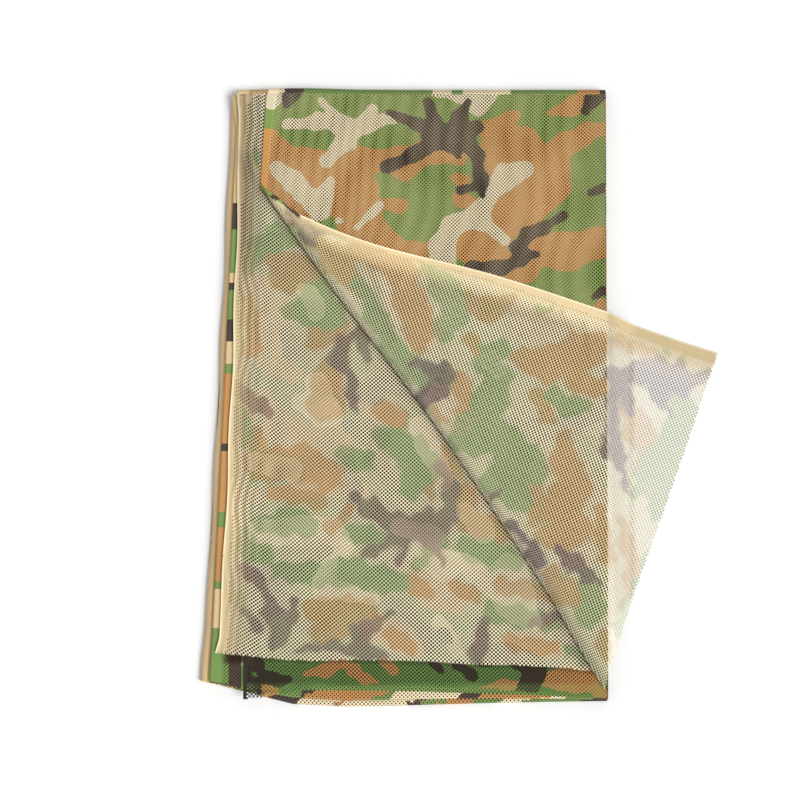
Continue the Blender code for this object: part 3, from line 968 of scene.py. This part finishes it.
RIPPLE_PITCH = 0.015
RIPPLE_STRENGTH = 0.65
RIPPLE_STRENGTH_PITCH = 0.43
RIPPLE_START = 0.014
RIPPLE_WANDER = ((0.006, 0.26, 1.0), (0.003, 0.12, 0.0))
RIPPLE_WIDTH = 0.055
RIPPLES_FROM_FOLD = 0.03
RIPPLE_SHADE = 0.35
TROUGH_WIDTH = 0.02
TROUGH_FADE = 0.03
UPPER_LEFT_DARKENING = 0.26
UPPER_LEFT_FROM = 0.12
UPPER_LEFT_FADE = 0.22
UPPER_LEFT_WIDTH = 0.02
UPPER_LEFT_EDGE = 0.05
FOLD_SHADOW = 0.24
FOLD_SHADOW_WIDTH = 0.014

# On the reverse the ground is the cloth's own cream, and the print stands on
# it as pale brown, pale green and grey, in that order, with soft outlines.
BACK_INKS = Inks(
    (255, 244, 208), (240, 208, 158), (204, 216, 164), (192, 174, 154), (230, 204, 156), (34, 22, 8))
BACK_SOFTNESS = 0.40
BACK_WARP = 0.35
SECOND_BROWN = (
    ((-27, 29, 1.8), (-21, 27.5, 2.5), (-16, 26, 2.5), (-24, 24, 2.5)), ((-31, 20, 1.6), (-30, 10, 2)),
    ((-17, 14, 2), (-13, 15, 2.5)), ((-17.5, 11.5, 1.6), (-13, 12.5, 1.4)), ((-15, 5, 3), (-15, -1, 4)),
    ((-3, -3, 2.5), (0, -5, 2)), ((-29, -8, 2), (-28, -14, 3), (-20, -13, 3.5), (-14, -16, 3)),
    ((-25, -19, 1.6), (-16, -21, 1.8)),
    ((-17, -42.5, 2.5), (-12, -43, 3), (-7, -43, 2.5), (-15, -47, 2.5)),
    ((-14, -26, 1.5), (-10, -23, 1.2)), ((13, -19, 2), (14, -25, 2.2), (20, -27, 2.4)),
    ((20, -38, 1.8), (30, -39, 1.8)), ((11, -38, 1.5), (15, -40, 1.5)), ((3, -37, 1.8), (5, -39, 1.6)),
    ((5.5, -16, 1.3), (6, -20, 1)), ((-2, -47, 1.5), (2, -50, 1.5)), ((22, -49, 1.6), (30, -50, 1.6)),
    ((9, -11, 1.2), (12, -16, 1)),
)
SECOND_GREEN = (
    ((-30.2, 51, 1.2), (-30, 49.5, 1.3)),
    ((-31, 27, 1.4), (-29, 31, 2.2), (-26, 33.5, 2.6), (-22, 33, 2)),
    ((-22, 18, 2), (-18, 18, 3), (-14, 17, 2.6), (-17, 22, 3)), ((-31.5, -3, 1.2), (-31.5, -9, 1.2)),
    ((-11, -12, 2.2), (-7, -13, 2.2)), ((-3, -8, 2.5), (2, -11, 3.5), (5, -14, 3), (2, -18, 2.6)),
    ((-31.5, -27, 1.2), (-30, -30.5, 2.2), (-27, -32, 1.8)),
    ((-27, -25.5, 2), (-21, -25, 2.6), (-18, -26, 2)),
    ((-24, -35, 1.8), (-17, -35.5, 2.4), (-10, -35, 2.6), (-4, -36.5, 2.6), (0, -37, 2)),
    ((-9, -27, 2), (-4, -28.5, 2)), ((13, -30, 2), (18, -31.5, 2.5), (23, -33, 2)),
    ((18, -43, 2), (24, -44, 2), (31, -45, 1.6)), ((-32.5, -40, 1.2), (-32, -41, 1.2)),
    ((8, -29, 1.5), (4, -33, 1.5)), ((33, -50, 1.2), (36, -52, 1.2)),
)
SECOND_GREY = (
    ((-9, 14, 0.9), (-12, 10.5, 1.3), (-12, 7, 1), (-10, 4, 0.9), (-9.2, -1, 0.9), (-9, -3, 0.6)),
    ((-12, 9.5, 1.6), (-13.5, 7.5, 1.2)), ((-8, 13.5, 1.3), (-6.5, 8, 1.1)),
    ((-33.5, 2.5, 1), (-31, 0.5, 1.3), (-28.5, -1.5, 1.3), (-26, -3.2, 0.8)),
    ((-10, -19.7, 0.8), (-6, -22, 1.7), (-2, -24.8, 1.6), (3, -26, 2.4)),
    ((3, -26, 2.4), (7, -26.5, 2.3), (9.8, -23, 1.6), (10.3, -18, 1.4), (9, -14.5, 1)),
    ((6.5, -14.2, 0.7), (9, -14.8, 1)), ((3, -26, 1.8), (-1, -28, 1.1), (-5, -31, 0.9), (-8, -32, 0.5)),
    ((1.5, -28, 1.3), (0, -33, 0.8)), ((6, -28, 1.7), (8.5, -33, 0.6)), ((6, -22.5, 0.5), (6.5, -24, 1)),
    ((-31, -34, 1), (-28, -37, 1.4)),
    ((-26.5, -39.5, 1), (-24.7, -44, 1.9), (-24, -48, 1.7), (-22, -45, 1.3), (-20.5, -41, 0.8)),
    ((-1.6, -43.3, 0.7), (-5, -45.2, 1.1), (-8, -47, 1.8), (-8, -50, 1.8), (-4, -51.5, 1.3)),
    ((-20, -50.2, 0.7), (-14, -49.6, 0.8), (-9, -50, 1)),
    ((16.8, -44.5, 0.7), (16, -48, 1.4), (15, -52, 1.7)),
    ((26, -45.7, 0.9), (30, -43.6, 0.9), (33, -44.5, 1)), ((-31, -43, 1.2), (-28, -46, 1)),
)


def second_place(u, v):
    """Where the lower layer has a place of its cloth. Its rows are pulled
    down to the right beside the selvedge, and less so further in: their
    slope falls off as an exponential plus an even part."""
    s = np.clip(u - PULL_FROM, 0, None)
    drop = PULL_AT_SELVEDGE * PULL_WIDTH * (1 - np.exp(-s / PULL_WIDTH))
    drop = drop + PULL_ACROSS * (s - s**2 / (PULL_TO - PULL_FROM))
    x, y = warped(u, v, SECOND_WARP)
    return x, y - drop


def past_fold(x, y):
    """How far points lie to the lower left of the fold as it bows."""
    share = (TURNED_FROM[1] - y) / (TURNED_FROM[1] - TURNED_TO[1])
    return past_diagonal(x, y) + fold_bow(np.clip(share, 0, 1))


def second_edge(x, y):
    """How far points lie from the selvedge, less the selvedge's own width."""
    width = np.interp(y, SECOND_SELVEDGE_AT, SECOND_SELVEDGE)
    return x - half_edge(TOP_PLY, 1, y) - width


def upper_left(x, y):
    """1 in the selvedge's upper part, where the cloth is darker and open to
    its edge, fading downwards and away from the selvedge."""
    upper = ease((y - UPPER_LEFT_FROM) / UPPER_LEFT_FADE)
    return upper * ease(1 - (second_edge(x, y) - UPPER_LEFT_WIDTH) / UPPER_LEFT_EDGE)


def rippled(x, y):
    """The shares of the ripples' height beside the selvedge, from 0 to 2: a
    sine over the distance from it, which wanders along it, inside a soft
    hump. Ripples lie where no other layer holds the cloth down."""
    s = x - half_edge(TOP_PLY, 1, y)
    wander = sum(reach * wave(y, pitch, start) for reach, pitch, start in RIPPLE_WANDER)
    hump = ease(s / RIPPLE_START) * (1 - ease((s - RIPPLE_WIDTH / 2) / RIPPLE_WIDTH))
    strength = RIPPLE_STRENGTH + (1 - RIPPLE_STRENGTH) * wave(y, RIPPLE_STRENGTH_PITCH, -1)
    beside_top = ease((half_edge(TOP_PLY, 0, y) - 0.002 - x) / LAYER_STEP)
    free = np.maximum(beside_top, ease((past_diagonal(x, y) - RIPPLES_FROM_FOLD) / RIPPLES_FROM_FOLD))
    return hump * strength * free * (1 + wave(s + wander, RIPPLE_PITCH))


def shaded(x, y):
    """How light the cloth is: painted shade in the troughs between the ripples
    and a painted shadow beside the turned corner's fold, and darker at the
    upper left."""
    start = ease((x - half_edge(TOP_PLY, 1, y)) / RIPPLE_START)
    trough_shade = start * (1 - ease((second_edge(x, y) - TROUGH_WIDTH) / TROUGH_FADE)) * (1 - rippled(x, y) / 2)
    beside_fold = np.exp(-((past_fold(x, y) / FOLD_SHADOW_WIDTH) ** 2))
    darker_at_upper_left = 1 - UPPER_LEFT_DARKENING * upper_left(x, y)
    return (1 - RIPPLE_SHADE * trough_shade) * (1 - FOLD_SHADOW * beside_fold) * darker_at_upper_left


def second_size(x, y):
    """A hole's share of its full size: small beside the selvedge, but less
    so in its upper part."""
    grown = np.maximum(ease(second_edge(x, y) / SMALL_HOLES_WIDTH), UPPER_LEFT_HOLES * upper_left(x, y))
    return SMALLEST_HOLE + (1 - SMALLEST_HOLE) * grown


back_finish = layer_finish("reverse of the top ply", BACK_INKS, BACK_SOFTNESS)
for name, side in (("lower_layer_open", 1), ("lower_layer_covered", -1)):
    x, y, faces = holed_sheet(
        SECOND_LATTICE, second_place, LOWER_LAYER_OUTLINE, side,
        past_diagonal, lambda x, y: second_edge(x, y) < 0, second_size,
    )
    beside_top = ease((half_edge(TOP_PLY, 0, y) - x) / LAYER_STEP + 0.5)
    seen = np.maximum(beside_top, ease(past_fold(x, y) / LAYER_STEP + 0.5))
    # Painted shade under the top layer, deeper under the turned corner.
    covered = COVERED_SHADE * (1 - (1 - UNDER_FLAP_SHADE) * under_flap(x, y))
    facts = {
        "print": printed((SECOND_BROWN, SECOND_GREEN, SECOND_GREY), x, y, BACK_WARP),
        # The selvedge's plain zone, and a warm painted shade tint where covered.
        "plain_and_shade_tint": np.maximum(
            PLAIN_EDGE * ease(1 - second_edge(x, y) / PLAIN_WIDTH), COVERED_SHADE_TINT * (1 - seen)),
        "edge": x - half_edge(TOP_PLY, 1, y),
        "beaded": 1 + 0 * x,
        "shade": np.maximum(covered, seen) * shaded(x, y),
    }
    z = UPPER_HEIGHT - half_pitch + RIPPLE_HEIGHT * rippled(x, y)
    add_layer(name, x, y, z, faces, facts, [back_finish])


# The top layer, print side up, and its lower left part, turned back over the
# diagonal fold with its reverse up. The corner is pulled out of square, so it
# has a lattice of its own.
FIRST_LATTICE = Lattice(0.0071, 0.00732, 0.0046, 0.0042, (-45, 75), (-210, 210))
TOP_INKS = Inks((146, 175, 92), (228, 168, 98), (252, 238, 202), (84, 72, 64), (226, 196, 148), (44, 30, 8))
FLAP_INKS = BACK_INKS._replace(black=(172, 156, 146))
SOLID_SHADE = 0.72
TURNED_LATTICE = Lattice(0.0080, 0.00712, 0.0049, 0.0043, (-45, 75), (-210, 210))
TURNED_SHEAR = (0.069, 0.079)
TOP_LAYER_OUTLINE = Outline(TOP_PLY, 0, TOP_OUTER, TURNS[0].first_line)
FIRST_SMALLEST_HOLE = 0.5
FIRST_SMALL_HOLES_WIDTH = 0.006
STRETCH_FROM = -0.27
STRETCH_ACROSS = (0.98, 0.0435)
STRETCH_ALONG = (0.975, 0.05)
ROW_RISE = (0.01, 0.02)
FIRST_WARP = ((0.0015, 0.29, 0.0), (0.0015, 0.33, 1.0))
FIRST_SELVEDGE_AT = (-0.58, 0.0, 0.41, 0.64)
FIRST_SELVEDGE = (0.024, 0.011, 0.007, 0.018)
TURNED_RADIUS_FROM = 0.0060
TURNED_RADIUS_TO = 0.0025
TURNED_BOW_WIDTH = 0.05
TURNED_SETTLE = 0.09
GATHER_DEPTH = 0.009
GATHER_WIDTH = 0.04
GATHER_END = 0.45
TURNED_REST = 0.0032
RIDGE_FROM_FOLD = 0.13
RIDGE_WIDTH = 0.06
RIDGE_HEIGHT = 0.0030
CREASES_FROM_FOLD = 0.03
ROLLED_TO = -0.205
ROLLED_WIDTH = 0.012
FOLD_SHADE = 0.48
FOLD_SHADE_WIDTH = 0.026
OVERHANG_SHADE = 0.27
OVERHANG_STEP = 0.01
FLAP_PLAIN = ((0.9, 0.012), (0.5, 0.08))
DROOP_START = 0.003
DROOP_LENGTH = 0.062
FIRST_BROWN = (
    ((-27, 55, 2), (-25, 50, 3.5), (-17, 49.5, 2.6), (-8, 49.5, 3), (0, 50.5, 2), (6, 52, 2.5)),
    ((-22, 42, 6), (-10, 44, 5), (-8, 36, 4.5), (-3, 31, 3.5), (4, 29, 3), (9, 30, 3)),
    ((19, 56, 2), (24, 52, 5.5), (28, 46, 7.2), (24, 40, 5.6), (20, 37, 5), (16, 32, 5)),
    ((18, 53, 1.4), (18.8, 47, 1.4), (17.8, 43, 1.2)),
    ((0.5, 47.5, 2.2), (4, 49.8, 1.7), (8.3, 51.2, 1.3), (12.4, 50.2, 1.5)),
    ((11.5, 46, 1.3), (13.8, 45, 1.2)), ((12.8, 41.5, 1.9), (15, 40.5, 1.6)),
    ((33, 52, 3), (38, 55.5, 2), (42, 56.5, 1.6)), ((18, 57, 1.5), (24, 59.5, 1.2)),
    ((31, 60, 0.8), (36, 61.5, 1.8), (40, 64, 2)), ((28, 31, 3), (34, 30.5, 4), (40, 32, 3), (43, 33, 3)),
    ((20, 27, 4), (26, 27, 3)), ((-3, 40.5, 1.4), (0, 40, 1.6)), ((41.5, 19.5, 1.2), (42, 19, 1.2)),
    ((-29, 45, 3), (-27, 40, 3)), ((30, 8, 5), (38, 10, 6), (40, 1, 4)),
    ((33, -14, 5), (36, -22, 6), (34, -30, 5)), ((12.5, 4, 1.5), (13, -4, 1.5)),
    ((-4, 24, 5), (4, 16, 6)), ((26, 15, 4), (38, 14, 5)), ((8, 0, 3), (12, -5, 3)),
)
FIRST_SAND = (
    ((-10, 56.3, 1.4), (-16.8, 63.2, 0.5)), ((-10, 56.3, 1.4), (-17, 58.3, 1.5), (-23.5, 57.5, 1.0)),
    ((-10, 56.3, 1.4), (-6, 60.7, 1.2)), ((-10, 56.3, 1.4), (-11, 54, 1.8), (-15.3, 50, 1.6)),
    ((-10, 56.3, 1.4), (-2, 59, 1.5)),
    ((-25.2, 48, 1.7), (-22.5, 45.5, 2.2), (-19, 42, 1.8), (-16.5, 39.5, 2.4)),
    ((-16.5, 40, 2.4), (-14.3, 45.2, 1.2)),
    ((7, 64.5, 0.8), (14, 63.5, 1.6), (16, 61.5, 1.8), (20, 64.5, 1)),
    ((-27.6, 66, 1.6), (-26.6, 62.3, 1.5)), ((-25, 65.5, 1), (-25.5, 63, 0.9)),
    ((26, 48, 1.8), (22, 46.5, 2.4), (18.5, 42, 1.6), (15.5, 38, 2), (10.5, 35.5, 2.2),
     (8.5, 31, 2.6), (9, 27, 3)), ((16, 38, 1.8), (21.5, 33, 1.1)), ((-9, 35.5, 0.7), (-4, 40.5, 0.9)),
    ((-12.6, 37, 0.5), (-12.2, 37, 0.5)), ((9, 22, 3), (11, 16, 3)), ((38.5, -6, 1.8), (41, -6.5, 1.8)),
    ((18, 8, 2), (20, 6, 2)),
)
FIRST_BLACK = (
    ((-2.5, 60.3, 0.6), (3, 58, 1.2), (7, 55.5, 1.8), (11, 54.5, 2.6)),
    ((5.7, 62.5, 1), (7.5, 58, 1.3), (10, 55, 1.6)),
    ((14.2, 62.5, 0.8), (12.5, 59, 1.6), (11.5, 55, 2.2)), ((16, 57, 1.3), (13, 55, 2)),
    ((-2.8, 48.3, 1.3), (2.5, 51, 1.5), (8, 54, 1.6), (11, 54.5, 2)), ((11, 54.5, 2), (12, 50.8, 0.9)),
    ((14, 54, 1.4), (16, 51, 1.3), (16.8, 46, 1.2), (16.8, 42.5, 0.8)),
    ((16.5, 44.5, 1), (12.6, 43.5, 0.9)),
    ((33.6, 38.2, 0.8), (29.5, 35.3, 1.2), (26, 34, 1.3), (24, 31.2, 1.2), (24.8, 28.8, 1.2),
     (21, 27, 1.4), (14, 27.4, 0.9)), ((25, 30, 0.8), (28.3, 29.8, 0.6)),
    ((-23.6, 61.8, 1), (-23.2, 63.8, 1.3), (-21.2, 64.9, 1.1)),
    ((38.5, 60.5, 1), (40, 63, 1.4), (42.3, 64.5, 1.3)), ((39.5, 43, 0.9), (42.5, 44, 1)),
    ((39.5, 21, 0.7), (41.5, 22, 0.8)), ((21.5, -5, 1), (27, -7, 2.2), (33, -6, 2.4), (39, -3.5, 1.6)),
    ((25, -11, 1.4), (26, -12, 1.4)), ((-8, 22, 2), (-3, 12, 2)), ((0, 7, 2), (4, 2, 2)),
    ((24, -27, 2), (29, -36, 2)),
)
FLAP_BROWN = (
    ((-18, 33, 2), (-13, 28, 2.6), (-8, 22, 1.5)), ((-10, 31, 1.8), (-3, 28.5, 2.5), (3, 26, 1.5)),
    ((0, 24, 2.5), (2, 20, 3.4), (4, 14, 3), (4, 10, 1.8)), ((14, 20, 2), (18, 18, 2.4), (22, 20, 1.6)),
    ((11, 5, 1.4), (13, 1, 2), (13.5, -4, 1.8)), ((7, -3, 1), (9, -5, 1)), ((14, 12, 1.5), (16, 9, 1.5)),
    ((25, 8, 2.5), (30, 6.5, 3.6), (36, 9, 4), (41, 11, 2.6)), ((36, 3, 2.4), (41, 2, 2)),
    ((28, 0, 2), (30, -4, 1.6)),
    ((33, -9, 2), (33, -14, 2.8), (35.5, -18, 3), (32, -22, 3.4), (35, -27, 3), (30, -28, 2.6)),
    ((40, -23, 1.2), (41, -32, 1.8)), ((27, -17, 1.6), (27, -24, 2.2)),
    ((30, -36, 2), (33, -39, 2.6), (36, -41, 1.6)), ((40, -48, 1.6), (41, -52, 1.2)),
    ((45.5, 0, 1.6), (48.5, -6, 3), (51, -12, 3), (50.5, -18, 2)),
    ((44.5, -25, 1.2), (47, -34, 2), (45, -42, 1.4)), ((45, 12, 1.5), (52, 9.5, 1.6)),
)
FLAP_GREEN = (
    ((-22, 36, 1), (-17.5, 34, 1)), ((-8.5, 24, 1.4), (-5, 17, 2), (-2, 11, 2.2), (2, 6, 2.4), (5, 3, 2)),
    ((5.5, 26.5, 1.5), (9.5, 22.5, 2.8), (11, 17, 2.8), (9, 13.5, 2.4)),
    ((18, 9.5, 1.8), (20.5, 10, 1.6), (17, 7, 2)),
    ((20, 4, 3), (18, -1, 3.6), (14, -8, 3.6), (20, -8, 3.4)),
    ((22, -10, 3.4), (26, -14, 3.6), (20, -17, 3.6), (24, -21, 2.6)),
    ((31, 1, 1.6), (34, -2, 2), (37.5, -1, 1.3)), ((38, -38, 2), (38, -42, 2.4), (36.5, -45, 1.8)),
    ((28.5, 18.3, 0.7), (30.5, 18.3, 0.8)),
    ((56, 0, 2.4), (58, -4, 3.4), (56, -10, 3.8), (54, -17, 2.8), (52, -23, 2)),
    ((48.3, -18.5, 1.6), (51, -12, 2.2)), ((44, -46, 2), (48, -38, 1.6), (50.5, -32, 1.2)),
    ((54.6, 10, 0.7), (54.9, 10, 0.7)), ((57.8, 7.8, 1), (58.5, 8.8, 0.6)),
)
FLAP_GREY = (
    ((-25.6, 41.7, 0.6), (-24.9, 41.4, 0.6)), ((-23.2, 40.7, 0.6), (-20.8, 39.5, 0.6)),
    ((-23, 38.5, 0.8), (-20, 36.5, 1.8), (-17.5, 35.5, 2), (-14.5, 35, 1)),
    ((-19, 34, 1.4), (-17.5, 31.5, 0.8)),
    ((3, 7.5, 0.6), (6, 6, 1.2), (9, 5, 1.8), (8.5, 2, 1.6), (6, 1, 2), (4, -1.5, 1.6)),
    ((41, -8, 0.8), (41.5, -12, 1)), ((18, -20, 0.7), (20, -19.8, 0.6)),
    ((22, -25.5, 0.8), (24.5, -28, 0.8), (26.5, -31, 1.3), (28, -33, 1.2)),
    ((31.5, -31, 1), (34.5, -33.3, 1.8), (37, -35.5, 1.1), (39.5, -37.5, 0.5)),
    ((43, 4.8, 1.3), (47, 5.4, 1.8), (52.5, 6.5, 2.4), (57, 5, 2)),
    ((44.8, 4.5, 1.2), (45.8, 1, 1.3), (47, -2.3, 1)), ((51, 5, 2), (53, 1, 1.3), (54.8, -3, 0.9)),
    ((53.5, 3, 1.4), (58, 1.5, 1)), ((57, 5, 1.4), (57.5, 8, 0.8)),
    ((55, 3.2, 0.8), (60, 4, 1.2), (63, 5.2, 1.3)), ((43.5, 3, 1.3), (42.9, -3, 1.2), (42.9, -9, 1.1)),
    ((43.4, -8, 1.2), (44.6, -13, 1.1), (45.4, -18.5, 0.8)),
)

# The turned corner's creases, in centimetres: each has its height, and points
# with its half width there.
CREASES = (
    (0.34, ((-22, 38, 0.8), (-19, 33, 1.0), (-16, 28, 1.4))),
    (0.32, ((-19, 38, 0.6), (-16.5, 34, 0.8), (-14, 31, 1.2))),
    (0.38, ((-13, 29, 1.2), (-7, 26, 1.6), (0, 24.5, 1.6))),
    (0.36, ((-5, 26, 0.9), (-2.5, 18, 1.2), (0.5, 9.5, 0.9))),
    (0.26, ((19, 17.5, 1.0), (28, 15.5, 1.0), (35, 14, 1.2))),
    (0.28, ((33.5, 17.5, 0.7), (36, 12.5, 0.9))),
    (0.24, ((38, 15, 0.8), (39, 9, 1.0))),
    (0.26, ((26, 12, 1.5), (37, 4, 1.8))),
    (0.30, ((10, 12, 2.0), (22, 2, 2.0))),
    (0.26, ((28, -6, 1.6), (38, -12, 1.8))),
    (0.26, ((30, -16, 1.6), (41, -24, 1.6))),
    (0.24, ((43.8, 12, 0.8), (44.5, -20, 0.9), (43.8, -45, 0.7))),
    (0.20, ((47.0, 10, 0.8), (48.0, -14, 0.8))),
)


def creased(x, y):
    """The heights of the creases, which fall off from their lines as a bell
    does."""
    total = 0 * x
    for height, line in CREASES:
        bell = 0 * x
        for start, end in zip(line, line[1:]):
            away, width = from_segment(x * 100, y * 100, start, end)
            bell = np.maximum(bell, np.exp(-((away / width) ** 2)))
        total += height / 100 * bell
    return total


def first_place(u, v):
    """Where the top layer has a place of its cloth: a little more stretched
    towards the right, each way, with its rows rising to the right."""
    s = u - STRETCH_FROM
    x, y = warped(u, v, FIRST_WARP)
    x = x - s + STRETCH_ACROSS[0] * s + STRETCH_ACROSS[1] * s**2
    y = y - v + v * (STRETCH_ALONG[0] + STRETCH_ALONG[1] * s) + ROW_RISE[0] * s + ROW_RISE[1] * s**2
    return x, y


def turned_place(u, v):
    """Where the turned corner has a place of its cloth: it is pulled out of
    square, its columns leaning and its rows rising to the right."""
    return u + TURNED_SHEAR[0] * v, v + TURNED_SHEAR[1] * u


def first_edge(x, y):
    """How far points lie from the selvedge, less the selvedge's own width."""
    width = np.interp(y, FIRST_SELVEDGE_AT, FIRST_SELVEDGE)
    return x - half_edge(TOP_PLY, 0, y) - width


def beyond_fold(x, y):
    """How far a flat point lies past the start of the diagonal fold, its
    place along the fold, as a length and as a share, and the fold's radius
    there."""
    tau = (x - TURNED_FROM[0]) * fold_along[0] + (y - TURNED_FROM[1]) * fold_along[1]
    share = np.clip(tau / fold_length, 0, 1)
    radius = TURNED_RADIUS_FROM + (TURNED_RADIUS_TO - TURNED_RADIUS_FROM) * share
    return radius + past_diagonal(x, y), tau, share, radius


def turned_back(x, y, z):
    """The top layer with its lower left part rolled over the diagonal fold:
    round the fold's half circle, then flat on the layer below, on which it
    settles past a low ridge. The roll bows a little, and beside it the mesh
    is gathered."""
    past, tau, share, radius = beyond_fold(x, y)
    angle = np.clip(past / radius, 0, pi)
    beyond = np.clip(past - pi * radius, 0, None)
    gathered = GATHER_DEPTH * ease(beyond / GATHER_WIDTH) * np.clip(1 - beyond / GATHER_END, 0, 1)
    outward = np.clip(past, None, 0) + radius * np.sin(angle) - beyond + gathered - radius
    settled = ease(beyond / TURNED_SETTLE)
    lifted = radius * (1 - np.cos(angle))
    ridge = RIDGE_HEIGHT * np.exp(-(((beyond - RIDGE_FROM_FOLD) / RIDGE_WIDTH) ** 2))
    lifted = lifted + settled * (TURNED_REST + ridge - lifted)
    shift = fold_bow(share) * np.exp(-((past / TURNED_BOW_WIDTH) ** 2)) - outward
    new_x = TURNED_FROM[0] + tau * fold_along[0] - shift * fold_along[1]
    new_y = TURNED_FROM[1] + tau * fold_along[1] + shift * fold_along[0]
    new_y = new_y - SAG_DEPTH * sagging(new_x) * ease(beyond / SAG_FROM_FOLD)
    return new_x, new_y, z + lifted


def drooped(x, y, z):
    """The part past the right-hand fold falls to the table in a soft S."""
    past_edge = x - (RIGHT_FOLD_X + RIGHT_FOLD_LEAN * y) - DROOP_START
    fallen = ease(past_edge / DROOP_LENGTH)
    return z + (CLOTH_THICKNESS / 2 - z) * fallen


def smaller_by_edge(x, y, width):
    """A hole's share of its full size, which grows over a width from the
    selvedge on."""
    return FIRST_SMALLEST_HOLE + (1 - FIRST_SMALLEST_HOLE) * ease(first_edge(x, y) / width)


top_finish = layer_finish("print side of the top layer", TOP_INKS, PRINT_SOFTNESS)
flap_finish = layer_finish("reverse of the turned corner", FLAP_INKS, BACK_SOFTNESS)
for name, side, lattice, place, small_width in (
    ("top_layer", -1, FIRST_LATTICE, first_place, FIRST_SMALL_HOLES_WIDTH),
    ("turned_corner", 1, TURNED_LATTICE, turned_place, SMALL_HOLES_WIDTH),
):
    x, y, faces = holed_sheet(
        lattice, place, TOP_LAYER_OUTLINE, side,
        lambda x, y: beyond_fold(x, y)[0],
        lambda x, y: first_edge(x, y) < 0,
        lambda x, y: smaller_by_edge(x, y, small_width),
    )
    past = beyond_fold(x, y)[0]
    inwards = first_edge(x, y)
    turned_x, turned_y, z = turned_back(x, y, 0 * x + UPPER_HEIGHT + half_pitch)
    if side < 0:
        charts, warp = (FIRST_BROWN, FIRST_SAND, FIRST_BLACK), 0.0
        finishes, flat = [top_finish], (0.50, 0.9)
        facts = {}
        # Painted shade: darker under the turned corner, and on the solid selvedge.
        shade = (1 - (1 - UNDER_FLAP_SHADE) * under_flap(x, y)) * (1 - (1 - SOLID_SHADE) * (inwards < 0))
    else:
        charts, warp = (FLAP_BROWN, FLAP_GREEN, FLAP_GREY), BACK_WARP
        finishes, flat = [flap_finish, top_finish], (0.50, 0.7)
        z = z + creased(turned_x, turned_y) * ease(past / CREASES_FROM_FOLD)
        edge = x - half_edge(TOP_PLY, 0, y)
        rolled = (turned_x < ROLLED_TO) & (edge < ROLLED_WIDTH)
        plain_and_shade_tint = np.max([share * ease(1 - inwards / width) for share, width in FLAP_PLAIN], axis=0)
        facts = {"edge": edge, "rolled": rolled, "beaded": 1.0 - rolled, "plain_and_shade_tint": plain_and_shade_tint * (1.0 - rolled)}
        # Painted shade on the part that hangs past the right-hand fold, and along the roll of the diagonal
        # fold.
        overhang = ease((turned_x - RIGHT_FOLD_X) / OVERHANG_STEP)
        near_fold = np.exp(-((past / FOLD_SHADE_WIDTH) ** 2))
        shade = (1 - OVERHANG_SHADE * overhang) * (1 - FOLD_SHADE * near_fold)
    facts["print"] = printed(charts, turned_x, turned_y, warp)
    facts["shade"] = shade
    z = drooped(turned_x, turned_y, z)
    add_layer(name, turned_x, turned_y, z, faces, facts, finishes, flipped=side > 0)
